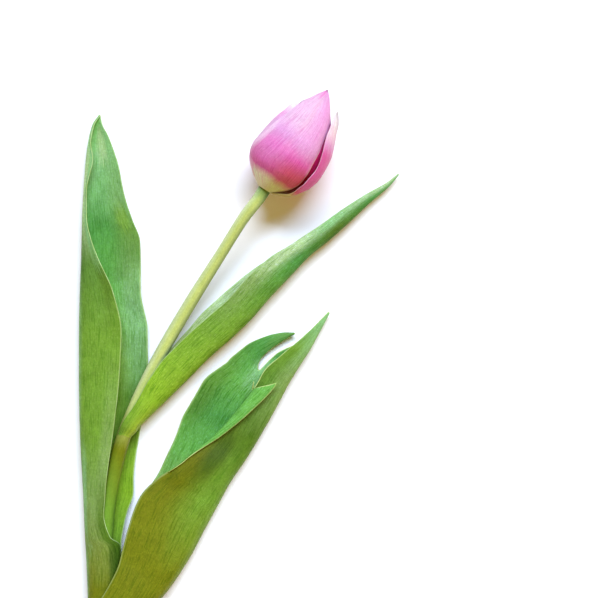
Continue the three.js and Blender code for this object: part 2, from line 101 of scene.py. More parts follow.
RIGHT_LEAF = (
    (-7.3, -151.5, 5.3, 9.5, 5.7, -90, 9.5, 4.9, 90, 6.1),
    (-5.8, -133.4, 6.2, 12.0, 6.7, -90, 12.0, 5.7, 90, 7.0),
    (-2.5, -117.9, 6.8, 17.0, 7.2, -90, 17.0, 6.0, 90, 8.5),
    (4.7, -101.6, 7.0, 22.5, 14.2, -30, 20.5, 0.8, 10, 8.6),
    (13.8, -88.4, 6.8, 24.4, 15.2, -10, 22.5, 0.7, 0, 8.0),
    (23.9, -76.3, 6.2, 29.2, 14.8, 0, 25.4, 0.7, 0, 6.6),
    (34.5, -60.2, 5.6, 34.4, 14.0, 0, 31.0, 0.7, 0, 5.4),
    (41.6, -46.6, 5.2, 36.1, 12.8, 0, 35.0, 0.7, 0, 5.0),
    (47.7, -35.4, 5.0, 32.6, 11.8, 0, 34.0, 0.8, 5, 4.8),
    (53.8, -24.2, 5.0, 25.4, 10.6, -20, 34.8, 1.2, 10, 4.8),
    (64.0, -8.9, 5.0, 19.6, 9.6, 20, 38.7, 1.8, 15, 4.6),
    (74.2, 8.4, 5.0, 15.8, 9.2, 50, 38.8, 1.8, 10, 4.4),
    (82.3, 23.4, 5.0, 13.9, 8.8, 40, 32.5, 2.0, 0, 4.0),
    (83.5, 25.8, 5.0, 13.9, 8.6, 34, 31.6, 2.0, 0, 4.0),
    (89.4, 35.6, 4.8, 10.7, 8.0, 16, 13.6, 2.2, 0, 3.6),
    (94.5, 43.5, 4.6, 7.8, 7.2, 0, 7.4, 2.4, 0, 2.8),
    (100.1, 53.7, 4.2, 3.8, 5.6, 0, 3.6, 2.8, 0, 1.6),
    (105.2, 63.3, 3.6, 0.4, 4.0, 0, 0.4, 3.2, 0, 0.4),
)
# The lowest leaf's near margin is rolled back over the blade, more and more towards its tear:
# the stations, and the roll's width there.
ROLL_STATIONS = (0, 8, 9, 10, 11, 12)
ROLL_WIDTHS = (0.0, 0.0, 0.2, 2.2, 5.5, 8.4)
# The near tear: its station, how far it leans back at the crest, how far the flap hangs past it, and
# the corner of its far lip along, outwards and up.
NEAR_TEAR = 12
NEAR_TEAR_BACK = 7.3
FLAP_LEAD = 2.2
NEAR_TEAR_CORNER = (-2.6, 16.2, 8.2)
# The far tear: its station, its place between fold and margin, and the blade's reach from there on.
FAR_TEAR = 13
FAR_TEAR_SHARE = 0.545
REACH_PAST_TEAR = (15.8, 12.6, 7.2, 3.6, 0.4)
# Edges of the strip that was torn off there, and the rows and length that it is laid in.
STRIP_INNER = ((68.7, 36.1), (70.1, 39.6), (73.6, 43.4), (78.9, 47.4), (84.3, 50.8), (87.6, 52.6))
STRIP_OUTER = ((61.1, 45.1), (64.2, 47.4), (70.3, 50.2), (76.5, 52.2), (82.6, 53.1), (87.4, 53.0))
STRIP_ROWS = 30
STRIP_LENGTH = 26

# The stem's middle line from its cut end to the bud.
STEM_COURSE = (
    (-11.7, -192.8, 4.0), (-12.0, -149.0, 5.3), (-11.5, -113.1, 6.4), (-10.2, -81.5, 7.0),
    (-8.7, -54.6, 7.0), (-6.7, -31.8, 6.8), (-2.6, -11.5, 6.7), (0.9, 0.7, 7.0),
    (9.1, 21.1, 7.4), (20.3, 43.4, 8.2), (34.6, 67.8, 9.6), (50.0, 91.9, 13.2),
    (62.5, 111.2, 17.0), (69.6, 120.3, 18.2), (72.8, 125.2, 18.6),
)
# Where the bud begins, and the way it points.
BUD_BASE = np.array([72.8, 125.2, 18.6])
BUD_HEADING = math.radians(57)
BUD_TILT = math.radians(4)

# Veins across a blade. A leaf's veins waver once in LEAF_WAVER millimetres, a petal's PETAL_WAVER times.
LEAF_VEINS = 84.0
LEAF_WAVER = 11
PETAL_VEINS = 56.0
PETAL_WAVER = 4.0
# The phase, in radians, that one vein takes up across the blade.
VEIN_TURN = 6.283

# The ring of stamens: its radius in metres and its lean.
STAMEN_COUNT = 6
STAMEN_RADIUS = 0.0032
STAMEN_LEAN = math.radians(6)

# The stage, in metres: half the table's side, then each light's name, place, size and colour.
TABLE_REACH = 12.0
LIGHTS = (
    ("key", (1.1, 4.7, 6.2), (6.6, 2.2), (0.675, 0.797, 1.0)),
    ("fill", (-2.4, -5.8, 1.4), (5.0, 2.0), (1.0, 0.75, 0.3)),
    ("side", (5.8, 1.0, 2.1), (2.4, 1.8), (1.0, 0.75, 0.35)),
)
LIGHT_AIM = (0.0, 0.05, 0.0)
ROOM_COLOUR = (1.0, 0.64, 0.14, 1)
CAMERA_PLACE = (0.0304, 0.0800)
CAMERA_HEIGHT = 0.65
CAMERA_LENS = 76.3


# ---------------------------------------------------------------- curves through stations
def smooth_column(keys, values):
    """A cubic through the stations that never overshoots between two of them."""
    keys, values = np.asarray(keys, float), np.asarray(values, float)
    rise = np.diff(values) / np.diff(keys)
    slope = np.empty_like(values)
    slope[0], slope[-1] = rise[0], rise[-1]
    before, after = rise[:-1], rise[1:]
    total = before + after
    safe = np.where(np.abs(total) < 1e-12, 1.0, total)
    slope[1:-1] = np.where(before * after <= 0, 0.0, 2 * before * after / safe)

    def value(key):
        key = np.asarray(key, float)
        i = np.clip(np.searchsorted(keys, key, side="right") - 1, 0, len(keys) - 2)
        span = keys[i + 1] - keys[i]
        t = (key - keys[i]) / span
        a, b = t * t * (3 - 2 * t), t * (1 - t)
        return (values[i] * (1 - a) + values[i + 1] * a
                + span * b * (slope[i] * (1 - t) - slope[i + 1] * t))

    return value


def smoothstep(low, high, x):
    t = np.clip((np.asarray(x, float) - low) / (high - low), 0, 1)
    return t * t * (3 - 2 * t)


def bezier(p, count):
    t = np.linspace(0, 1, count + 1)[:, None]
    return ((1 - t) ** 3 * p[0] + 3 * (1 - t) ** 2 * t * p[1]
            + 3 * (1 - t) * t ** 2 * p[2] + t ** 3 * p[3])


def arc_lengths(points):
    """The distance along a line of points from its start to each of them."""
    return np.concatenate([[0], np.cumsum(np.linalg.norm(np.diff(points, axis=0), axis=1))])


# Steps from fold to margin and round a roll.
HALF_STEPS = 48
ROLL_STEPS = 24
# The roll, in millimetres: the least that is made, its lift, and what it leaves of the ripple.
LEAST_ROLL = 0.05
ROLL_LIFT = 1.5
ROLL_LIFT_BY_WIDTH = 0.12
ROLL_CALM = 0.3
# How far a margin's handle reaches back towards the fold, and the length that gives the fold's heading.
LIP_SHARE = 0.4
HEADING_SPAN = 3


class LeafCourse:
    """A leaf's columns against the distance along its fold, and its cross-sections."""

    def __init__(self, stations, side):
        table = np.array(stations, float)
        self.keys = arc_lengths(table[:, :2])
        self.length = self.keys[-1]
        self.side = side
        self.column = {name: smooth_column(self.keys, table[:, c]) for c, name in enumerate(STATION)}

    def across(self, key):
        low, high = max(0.0, key - HEADING_SPAN), min(self.length, key + HEADING_SPAN)
        along = np.array([self.column[c](high) - self.column[c](low) for c in "xy"])
        along /= np.hypot(*along)
        return np.array([along[1] * self.side, -along[0] * self.side])

    def half(self, key, near, reach=None, roll=0.0):
        """One half from fold to margin: points (outwards, height), arc lengths, length before the roll."""
        c = {name: float(column(key)) for name, column in self.column.items()}
        name, handle = ("near", c["fold"]) if near else ("far", -c["fold"])
        reach = c[name] if reach is None else reach
        end_z, angle = c[name + "_z"], c[name + "_angle"]
        share = min(1.0, abs(angle) / 90)
        lip = LIP_SHARE * reach * (1 - share) + abs(handle) * share
        turn = math.radians(angle)
        p = np.array([(0, c["z"]), (0, c["z"] + handle),
                      (reach - lip * math.cos(turn), end_z - lip * math.sin(turn)), (reach, end_z)])
        curve = bezier(p, HALF_STEPS)
        if roll > LEAST_ROLL:
            over = ROLL_LIFT + ROLL_LIFT_BY_WIDTH * roll
            back = np.array([(reach, end_z), (reach + 0.5, end_z + 0.9 * over),
                             (reach - 0.4 * roll, end_z + 1.35 * over), (reach - roll, end_z + over)])
            curve = np.vstack([curve, bezier(back, ROLL_STEPS)[1:]])
        run = arc_lengths(curve)
        return curve, run, run[HALF_STEPS]

    def place(self, key, flat, near):
        across = self.across(key)
        x, y = float(self.column["x"](key)), float(self.column["y"](key))
        return np.array([x + across[0] * flat[0], y + across[1] * flat[0], flat[1]])


# ---------------------------------------------------------------- thin blades as closed meshes
# How far the rim bulges out, against half the thickness.
RIM_BULGE = 0.9


def directed_outline(quads):
    """The directed edges that only one quad has."""
    edges = {}
    for quad in quads:
        for a, b in zip(quad, np.roll(quad, -1)):
            if edges.pop((b, a), None) is None:
                edges[(a, b)] = True
    return list(edges)


def unit(vectors):
    return vectors / np.maximum(np.linalg.norm(vectors, axis=1), 1e-12)[:, None]


def blade_object(name, points, uvs, quads, thickness, materials, floor=True):
    """A closed blade from a curved sheet: inner face, outer face and a rounded rim.

    materials are those of the face that the normals point out of, the other face and the rim.
    """
    points = np.asarray(points, float)
    uvs = np.asarray(uvs, float)
    quads = np.asarray(quads, int)
    half = np.asarray(thickness, float) / 2
    count = len(points)
    normal = np.zeros_like(points)
    face = np.cross(points[quads[:, 2]] - points[quads[:, 0]], points[quads[:, 3]] - points[quads[:, 1]])
    for k in range(4):
        np.add.at(normal, quads[:, k], face)
    normal = unit(normal)
    outline = directed_outline(quads)
    out = np.zeros_like(points)
    for a, b in outline:
        side = np.cross(points[b] - points[a], normal[a] + normal[b])
        out[a] += side
        out[b] += side
    rim = sorted({a for edge in outline for a in edge})
    offset = normal * half[:, None]
    if floor:
        points = points.copy()
        points[:, 2] = np.maximum(points[:, 2], np.abs(offset[:, 2]))
    middle = points[rim] + unit(out[rim]) * (half[rim] * RIM_BULGE)[:, None]
    if floor:
        middle[:, 2] = np.maximum(middle[:, 2], 0.0)
    place = {a: 2 * count + k for k, a in enumerate(rim)}
    faces = [*quads.tolist(), *(quads[:, ::-1] + count).tolist()]
    slots = [0] * len(quads) + [1] * len(quads)
    for a, b in outline:
        a, b = int(a), int(b)
        faces += [(b, a, place[a], place[b]), (place[b], place[a], a + count, b + count)]
        slots += [2, 2]
    verts = np.vstack([points + offset, points - offset, middle])
    return mesh_object(name, verts, faces, np.vstack([uvs, uvs, uvs[rim]]), slots, materials)


def linked(name, data):
    obj = bpy.data.objects.new(name, data)
    bpy.context.scene.collection.objects.link(obj)
    return obj


def mesh_object(name, verts, faces, uvs, slots, materials, origin=ORIGIN):
    """A smooth mesh object in metres in the part's frame, from millimetres."""
    mesh = bpy.data.meshes.new(name)
    mesh.from_pydata(((np.asarray(verts, float) - origin) * MM).tolist(), [], faces)
    for material in materials:
        mesh.materials.append(material)
    mesh.polygons.foreach_set("material_index", slots)
    mesh.polygons.foreach_set("use_smooth", [True] * len(mesh.polygons))
    layer = mesh.uv_layers.new(name="blade")
    corner = np.empty(len(mesh.loops), dtype=np.int32)
    mesh.loops.foreach_get("vertex_index", corner)
    layer.data.foreach_set("uv", np.asarray(uvs, float)[corner].ravel())
    mesh.validate()
    mesh.update()
    return linked(name, mesh)


def joined(low, high):
    """Quads between two rows of point numbers."""
    return list(zip(low, high, high[1:], low[1:]))


def grid_quads(rows, width, side):
    """Quads of a plain grid, turned to face the given side."""
    numbers = np.arange(rows * width).reshape(rows, width).tolist()
    quads = [quad for low, high in zip(numbers, numbers[1:]) for quad in joined(low, high)]
    return [(a, d, c, b) for a, b, c, d in quads] if side > 0 else quads


# ---------------------------------------------------------------- leaves
# Lengths along a leaf, in millimetres: where ripples fade out, and a sheath thins out and closes on the
# stem. CLASP_ROOM is added to the sheath's own radius before it is fitted to the stem's.
CALM_FOOT = 60
CALM_TIP = 12
SHEATH_FOOT = 6
CLASP_LENGTH = 7
CLASP_ROOM = 0.35
# Place of the rolled crest between fold and margin, and the lengths before and past the near tear over
# which it moves out to the margin, the rows lean back and the flap begins to hang.
CREST = 0.62
CREST_BEFORE = (-60, -6)
CREST_PAST = (0, 16)
LEAN_BEFORE = 30
LEAN_PAST = 14
FLAP_BEFORE = (-24, 0)
# Rows before the tear and past the strip, as shares of all rows, and between the two tears.
ROWS_BEFORE = 0.72
ROWS_BETWEEN = 4
ROWS_PAST = 0.22
# The torn strip's height at its edges, its crown, the rise of its inner edge towards its end, and the
# share of its length in which it comes down from the blade.
STRIP_HEIGHT = 2.2
STRIP_CROWN = 0.9
STRIP_CURL = 1.4
STRIP_SETTLES = 0.7


def wave(key, share, seed, size):
    """Small unevenness of a blade, strongest at its margins."""
    s = 0.25 + 0.75 * share * share
    return size * s * (math.sin(key * 0.11 + seed) * math.cos(key * 0.043 + 2.1 * seed + 3 * share)
                       + 0.4 * math.sin(key * 0.29 + 1.7 * seed + 2 * share))


class LeafSheet:
    """Gathers a leaf's points, drawn in round the stem at its foot, with their places and thickness."""

    def __init__(self, stations, side, thickness, seed, ripple, stem_radius):
        self.course = LeafCourse(stations, side)
        self.thickness, self.seed, self.ripple, self.stem_radius = thickness, seed, ripple, stem_radius
        self.points, self.uvs, self.thick = [], [], []

    def swell(self, key):
        """Size of the ripple, which fades towards the foot and the tip."""
        calm = smoothstep(0, CALM_FOOT, key) * smoothstep(0, CALM_TIP, self.course.length - key)
        return self.ripple * calm

    def clasped(self, key, point):
        """Draws the foot of a sheath in round the stem."""
        column = self.course.column
        scale = self.stem_radius / (float(column["near"](0)) / 2 + CLASP_ROOM)
        scale += (1 - scale) * float(smoothstep(0, CLASP_LENGTH, key))
        here = self.course.place(key, (float(column["near"](key)) / 2, float(column["z"](key))), True)
        return here + (point - here) * scale

    def put(self, point, share, key):
        """Adds a point and returns its number. The blade thins out at its margins and at its foot."""
        self.points.append(self.clasped(key, np.asarray(point, float)))
        self.uvs.append((0.5 + 0.5 * share, key / self.course.length))
        margin = 1 - 0.5 * np.abs(share) ** 6
        foot = 0.25 + 0.75 * float(smoothstep(0, SHEATH_FOOT, key))
        self.thick.append(self.thickness * margin * foot)
        return len(self.points) - 1

    def lay(self, key, half, at, near, share, swell, mark=None):
        """Adds the point at a distance from the fold, along one half of the section at a key."""
        curve, run = half[:2]
        point = self.course.place(key, [np.interp(at, run, curve[:, c]) for c in (0, 1)], near)
        point[2] += wave(key, share, self.seed, swell)
        return self.put(point, share if mark is None else mark, key)

    def finished(self, name, quads, materials):
        return blade_object(name, self.points, self.uvs, quads, self.thick, materials)


def plain_leaf(name, stations, materials, side, rows, columns, **sheet):
    """A whole leaf, with rows that close up a little towards its foot."""
    leaf = LeafSheet(stations, side, **sheet)
    keys = leaf.course.length * np.linspace(0, 1, rows + 1) ** 1.15
    shares = np.linspace(-1, 1, 2 * columns + 1)
    for key in keys:
        swell = leaf.swell(key)
        halves = [leaf.course.half(key, near) for near in (False, True)]
        for share in shares:
            near = bool(share < 0)
            leaf.lay(key, halves[near], abs(share) * halves[near][1][-1], near, share, swell)
    return leaf.finished(name, grid_quads(len(keys), len(shares), side), materials)


def torn_leaf(name, materials, rows, **sheet):
    """The lowest leaf, with its rolled margin, the tear beside it and the strip torn off its far half."""
    leaf = LeafSheet(RIGHT_LEAF, -1, **sheet)
    course = leaf.course
    tear_key, strip_key = course.keys[NEAR_TEAR], course.keys[FAR_TEAR]
    roll_of = smooth_column([course.keys[s] for s in ROLL_STATIONS], ROLL_WIDTHS)
    reach_past = smooth_column(course.keys[FAR_TEAR:], REACH_PAST_TEAR)
    band, main_near, main_far, outer = 8, 16, 14, 10
    keys = np.unique(np.round(np.concatenate([
        np.linspace(0, tear_key, int(rows * ROWS_BEFORE)), np.linspace(tear_key, strip_key, ROWS_BETWEEN),
        np.linspace(strip_key, course.length, int(rows * ROWS_PAST))]), 4))
    tear_row, strip_row = (int(np.argmin(np.abs(keys - key))) for key in (tear_key, strip_key))

    def slant(key, part):
        """Rows lean back towards the crest near the tear."""
        past = key - tear_key
        near = 1 + past / LEAN_BEFORE if past < 0 else 1 - past / LEAN_PAST
        return key - NEAR_TEAR_BACK * part * max(0.0, near)

    lines = []
    for i, key in enumerate(keys):
        line = []
        swell, past_tear, past_strip = leaf.swell(key), key > tear_key + 1e-6, i > strip_row
        past = key - tear_key
        crest = CREST + (1 - CREST) * (1 - smoothstep(*CREST_PAST, past) if past_tear
                                       else smoothstep(*CREST_BEFORE, past))
        for j in range(band + main_near):
            part, rest = min(1, 1 - (j - band) / main_near), max(0, 1 - j / band)
            here, roll = slant(key, part if past_tear else part - rest), 0.0
            if not past_tear:
                here += FLAP_LEAD * rest * float(smoothstep(*FLAP_BEFORE, past))
                roll = float(roll_of(min(here, tear_key)))
            half = course.half(here, True, roll=roll)
            whole, main = half[1][-1], half[2]
            at = part * crest * main + rest * (whole - crest * main)
            ripple = swell * (ROLL_CALM if roll > LEAST_ROLL else 1)
            line.append(leaf.lay(here, half, at, True, -at / whole, ripple))
        half = course.half(key, False, reach=float(reach_past(key)) if past_strip else None)
        whole = half[1][-1]
        for j in range(main_far + 1):
            mark = (j / main_far) * FAR_TEAR_SHARE
            share = j / main_far if past_strip else mark
            line.append(leaf.lay(key, half, share * whole, False, share, swell if j else 0, mark))
        for j in range(1, 1 if past_strip else outer + 1):
            share = FAR_TEAR_SHARE + (1 - FAR_TEAR_SHARE) * j / outer
            line.append(leaf.lay(key, half, share * whole, False, share, swell))
        lines.append(line)

    # the far lip of the near tear runs from the crest out to a corner
    lip = list(lines[tear_row])
    crest_point = leaf.points[lip[band]]
    corner = course.place(tear_key + NEAR_TEAR_CORNER[0], NEAR_TEAR_CORNER[1:], True)
    for j in range(band):
        point = crest_point + (corner - crest_point) * (1 - j / band)
        lip[j] = leaf.put(point, -1 + 0.4 * j / band, tear_key)
    quads = []
    for i, line in enumerate(lines[1:]):
        quads += joined(lip if i == tear_row else lines[i], line)

    strip = lines[strip_row][band + main_near + main_far:]
    start = [leaf.points[k][2] for k in strip]
    knots = np.linspace(0, 1, len(STRIP_INNER) + 1)
    edges = [[smooth_column(knots, column) for column in np.array([leaf.points[end][:2], *edge]).T]
             for end, edge in ((strip[0], STRIP_INNER), (strip[-1], STRIP_OUTER))]
    for t in np.linspace(0, 1, STRIP_ROWS)[1:]:
        a, b = (np.array([float(column(t)) for column in edge]) for edge in edges)
        s = float(smoothstep(0.0, STRIP_SETTLES, t))
        line = []
        for j in range(outer + 1):
            f = j / outer
            laid = STRIP_HEIGHT + STRIP_CROWN * math.sin(math.pi * f) + STRIP_CURL * t * (1 - f)
            z = start[j] * (1 - s) + s * laid
            line.append(leaf.put((*(a + (b - a) * f), z), FAR_TEAR_SHARE + (1 - FAR_TEAR_SHARE) * f,
                                 strip_key + STRIP_LENGTH * t))
        quads += joined(strip, line)
        strip = line
    return leaf.finished(name, quads, materials)


# ---------------------------------------------------------------- bud
# Radius of each petal's surface by height above the bud's base, and the bearings of its two margins
# round the bud, in degrees from the upper side, also by height.
FRONT_RADIUS = ((0, 4.3), (2, 7.1), (5, 10.8), (8, 13.7), (12, 16.4), (20, 18.5), (27, 18.3), (33, 17.0),
                (38, 15.4), (43, 13.2), (48, 10.6), (53, 7.6), (57.5, 4.6))
LEFT_RADIUS = ((0, 3.7), (1.4, 5.7), (3.1, 8.5), (5, 10.8), (7.2, 13.2), (9.1, 14.7), (11.5, 16.0),
               (13.9, 16.8), (16.5, 17.2), (19.3, 16.9), (22.6, 16.5), (25.8, 16.1), (28.7, 15.6),
               (31.4, 15.1), (33.9, 14.4), (36.2, 13.55), (38.5, 12.75), (41.1, 12.0), (42.7, 11.4),
               (44.0, 10.7), (45.0, 10.0))
RIGHT_RADIUS = ((0, 4.6), (0.8, 6.4), (1.4, 8.2), (2.4, 10.4), (3.8, 12.5), (5.7, 14.2), (8, 15.7),
                (10.1, 17.2), (12, 18.4), (14.6, 19.3), (17.4, 20.0), (20.6, 20.2), (24.1, 20.05),
                (27.3, 19.75), (30.5, 19.2), (33.8, 18.2), (37.1, 17.0), (40.4, 15.7),
                (43.4, 14.6), (46.1, 13.5), (49.1, 11.7), (51.3, 10.2))
INNER_RADIUS = ((2.9, 4.8), (5, 8.6), (9, 13.0), (13, 15.6), (20, 17.3), (27, 17.1), (33, 15.8), (38, 13.8),
                (43, 11.0), (48, 7.6), (52, 4.4))
FRONT_MARGINS = (
    ((0, -58), (5, -70), (10, -74), (13.9, -70.3), (16.7, -62.1), (20.2, -54.7), (24, -49.2), (27.6, -44.6),
     (31.4, -41.8), (34.6, -38.5), (39.2, -35.8), (43.2, -35.6), (45.6, -36.4), (47.1, -34.4), (49.2, -29.8),
     (52.3, -24.6), (55, -15.7), (57.5, -2.0)),
    ((0, 56), (3, 64), (6.5, 63.5), (8.7, 61.5), (11.6, 58.8), (13.5, 57.2), (15.7, 55.4), (18.3, 53.2),
     (20.5, 51.6), (23.1, 50.4), (28.1, 49.8), (33.8, 49.8), (36.4, 50.4), (39, 51.2), (43.4, 51.4),
     (47, 49.1), (49.9, 44.3), (52.2, 36.6), (54.6, 27.0), (56.8, 9.5), (57.5, 2.0)))
LEFT_MARGINS = (
    ((0, -150), (10, -158), (20, -164), (30, -162), (37, -150), (42, -122), (44.2, -98), (45.0, -78)),
    ((0, -48), (10, -50), (20, -36), (30, -22), (37, -18), (41, -26), (43.4, -42), (44.5, -58), (45.0, -70)))
RIGHT_MARGINS = (
    ((0, 66), (1.2, 56), (2, 56), (3, 62), (4.3, 66), (6.6, 65.5), (8.7, 61.5), (10.1, 59), (12, 57.6),
     (13.8, 56.4), (15.8, 55.6), (17.8, 55.8), (20.5, 57.0), (23, 56.4), (25.4, 54.9),
     (28.1, 52.6), (30.8, 51.0), (34.8, 48.5), (38.4, 47.1), (41.8, 48.8),
     (45.7, 50.4), (47.6, 53.0), (49.1, 57.7), (50.3, 63.0), (51.3, 72.0)),
    ((0, 158), (10, 166), (20, 168), (30, 164), (38, 150), (44, 126), (48, 104), (50, 88), (51.3, 76)))


def inner_margins(bearing):
    """The slim margins of an inner petal that faces the given bearing."""
    shape = ((3.2, 24), (6, 32), (12, 42), (22, 42), (32, 44), (42, 42), (48, 30), (51, 14), (52, 3))
    return [[(height, bearing + side * width) for height, width in shape] for side in (-1, 1)]


# radius, margins, and how far the whole petal leans outwards
TEPALS = {
    "tepal_outer_front": (FRONT_RADIUS, FRONT_MARGINS, 0.0),
    "tepal_outer_right": (RIGHT_RADIUS, RIGHT_MARGINS, 0.0),
    "tepal_outer_left": (LEFT_RADIUS, LEFT_MARGINS, 0.0),
    "tepal_inner_right": (INNER_RADIUS, inner_margins(60), 0.0),
    "tepal_inner_left": (INNER_RADIUS, inner_margins(-62), -2.9),
    "tepal_inner_back": (INNER_RADIUS, inner_margins(180), -2.6),
}

def bud_axes():
    """Right, along the axis, and up, for the bud as it lies."""
    axis = np.array([math.cos(BUD_HEADING) * math.cos(BUD_TILT),
                     math.sin(BUD_HEADING) * math.cos(BUD_TILT), math.sin(BUD_TILT)])
    right = np.array([math.sin(BUD_HEADING), -math.cos(BUD_HEADING), 0.0])
    return right, axis, np.cross(right, axis)


def bud_to_part(points):
    """From the bud's frame (X right, Y along its axis, Z to the upper side) to the leaf node's frame."""
    points = np.asarray(points, float)
    right, axis, up = bud_axes()
    return BUD_BASE + points[:, :1] * right + points[:, 1:2] * axis + points[:, 2:3] * up


PETAL_ROWS = 110
PETAL_COLUMNS = 56
# Millimetres, apart from the groove's width, which is a share of the petal's half width.
GROOVE_DEPTH = 0.3
GROOVE_WIDTH = 0.1
MARGIN_LIFT = 0.45
MARGIN_TUCK = 0.25
SURFACE_WAVE = 0.1
MARGIN_WAVE = 0.07


def tepal_object(name, thickness, materials):
    """A petal on its own surface round the bud's axis, between its two margins."""
    radii, margins, lean = TEPALS[name]
    radius, left, right = (smooth_column(*zip(*pairs)) for pairs in (radii, *margins))
    foot, top = margins[0][0][0], margins[0][-1][0]
    # rows close up towards the foot and the tip
    shares = (0.5 - 0.5 * np.cos(np.pi * np.linspace(0, 1, PETAL_ROWS + 1))) ** 0.9
    points, uvs, thick = [], [], []
    for height in foot + (top - foot) * shares:
        t = (height - foot) / (top - foot)
        low, high = math.radians(float(left(height))), math.radians(float(right(height)))
        bulge = math.sin(math.pi * min(1, max(0, t)))
        for j in range(PETAL_COLUMNS + 1):
            v = 2 * j / PETAL_COLUMNS - 1
            r = float(radius(height)) + lean * (1 - math.exp(-6 * t))
            # a shallow groove along the middle, and margins that lift on one side and tuck in on the other
            r -= GROOVE_DEPTH * math.exp(-(v / GROOVE_WIDTH) ** 2) * bulge
            if name == "tepal_outer_front":
                r += MARGIN_LIFT * bulge * smoothstep(0.55, 1.0, -v)
                r -= MARGIN_TUCK * bulge * smoothstep(0.8, 1.0, v)
            r += SURFACE_WAVE * math.sin(9 * v + 5 * t) * bulge
            r += MARGIN_WAVE * math.sin(23 * t + 4 * v) * abs(v) ** 3
            turn = low + (high - low) * (0.5 + 0.5 * v)
            points.append((r * math.sin(turn), height, r * math.cos(turn)))
            uvs.append((0.5 + 0.5 * v, t))
            thick.append(thickness * (1 - 0.6 * abs(v) ** 5) * (1 - 0.5 * t ** 10))
    quads = grid_quads(PETAL_ROWS + 1, PETAL_COLUMNS + 1, 1)
    return blade_object(name + "_blade", bud_to_part(points), uvs, quads, thick, materials, floor=False)


# ---------------------------------------------------------------- tones
# The tulip's tones, named as a florist would, in 0-255 sRGB. Some also serve painted light: shade for painted
# shade, mauve for a painted shadow line, bloom and haze for painted highlights.
TONES = {
    "shade": (60, 88, 18), "moss": (82, 116, 28), "olive": (116, 124, 20), "umber": (100, 106, 14),
    "deep": (90, 132, 48), "leaf": (114, 156, 50), "cool": (80, 148, 64), "sage": (130, 162, 84),
    "fresh": (142, 184, 44), "mint": (110, 178, 78), "lime": (170, 198, 62), "celery": (190, 202, 116),
    "bloom": (140, 194, 122), "haze": (186, 212, 150), "straw": (194, 178, 112), "cream": (218, 218, 150),
    "ivory": (232, 230, 206), "raspberry": (206, 84, 116), "fuchsia": (210, 90, 162), "rose": (222, 124, 188),
    "orchid": (214, 150, 200), "lilac": (214, 172, 200), "blush": (236, 206, 224), "pearl": (230, 226, 232),
    "ash": (188, 182, 186), "mauve": (100, 80, 94), "wine": (190, 30, 60), "magenta": (245, 50, 150),
}


def srgb(r, g, b):
    """Linear colour from 8-bit display values, with full cover."""
    def one(c):
        c /= 255
        return c / 12.92 if c <= 0.04045 else ((c + 0.055) / 1.055) ** 2.4
    return (one(r), one(g), one(b), 1)


def paint(tone):
    return srgb(*TONES[tone])


# ---------------------------------------------------------------- node helpers
class Nodes:
    """Adds nodes to a tree and links them in one call."""

    def __init__(self, tree):
        self.tree = tree

    def add(self, kind, inputs=None, **settings):
        node = self.tree.nodes.new(kind)
        for key, value in settings.items():
            setattr(node, key, value)
        for key, value in (inputs or {}).items():
            socket = node.inputs[key]
            if isinstance(value, bpy.types.NodeSocket):
                self.tree.links.new(value, socket)
            else:
                socket.default_value = value
        return node

    def math(self, operation, a, b=0.0):
        return self.add("ShaderNodeMath", {0: a, 1: b}, operation=operation).outputs[0]

    def vector(self, **parts):
        return self.add("ShaderNodeCombineXYZ", parts).outputs[0]

    def mix(self, factor, a, b, blend="MIX"):
        node = self.add("ShaderNodeMix", {0: factor, 6: a, 7: b}, data_type="RGBA", blend_type=blend)
        return node.outputs[2]

    def tinted(self, colour, tint):
        return self.mix(1.0, colour, (*tint, 1), "MULTIPLY")

    def noise(self, vector, scale=1.0, detail=2.0, roughness=0.5):
        inputs = {"Vector": vector, "Scale": scale, "Detail": detail, "Roughness": roughness}
        return self.add("ShaderNodeTexNoise", inputs).outputs[0]

    def object_noise(self, scale, detail, roughness=0.5):
        return self.noise(self.add("ShaderNodeTexCoord").outputs["Object"], scale, detail, roughness)

    def ramp(self, factor, stops, mode="EASE"):
        node = self.add("ShaderNodeValToRGB", {0: factor})
        elements = node.color_ramp.elements
        node.color_ramp.interpolation = mode
        while len(elements) < len(stops):
            elements.new(0.5)
        for element, (position, colour) in zip(elements, stops):
            element.position = position
            element.color = colour
        return node.outputs[0]

    def grey(self, factor, stops, mode="EASE"):
        return self.ramp(factor, [(p, (v, v, v, 1)) for p, v in stops], mode)

    def rise(self, factor, zero, one, weight=None, mode="EASE"):
        """A mask that goes from 0 to 1 between two values of the factor, times a weight."""
        mask = self.grey(factor, sorted(((zero, 0.0), (one, 1.0))), mode)
        return mask if weight is None else self.math("MULTIPLY", mask, weight)

    def shades(self, factor, run):
        """A run of the tulip's tones, from pairs of place and tone."""
        return self.ramp(factor, [(place, paint(tone)) for place, tone in run], "LINEAR")

    def group(self, tree, **inputs):
        inputs = {label.replace("_", " "): value for label, value in inputs.items()}
        return self.add("ShaderNodeGroup", inputs, node_tree=tree).outputs


def new_tree(name, kind, inputs, outputs):
    """A group with its sockets, from triples of label, type and default: the tree, its nodes, its inputs."""
    tree = bpy.data.node_groups.new(name, kind)
    for way, sockets in (("INPUT", inputs), ("OUTPUT", outputs)):
        for label, data, default in sockets:
            socket = tree.interface.new_socket(label, in_out=way, socket_type="NodeSocket" + data)
            if default is not None:
                socket.default_value = default
    n = Nodes(tree)
    return tree, n, n.add("NodeGroupInput").outputs


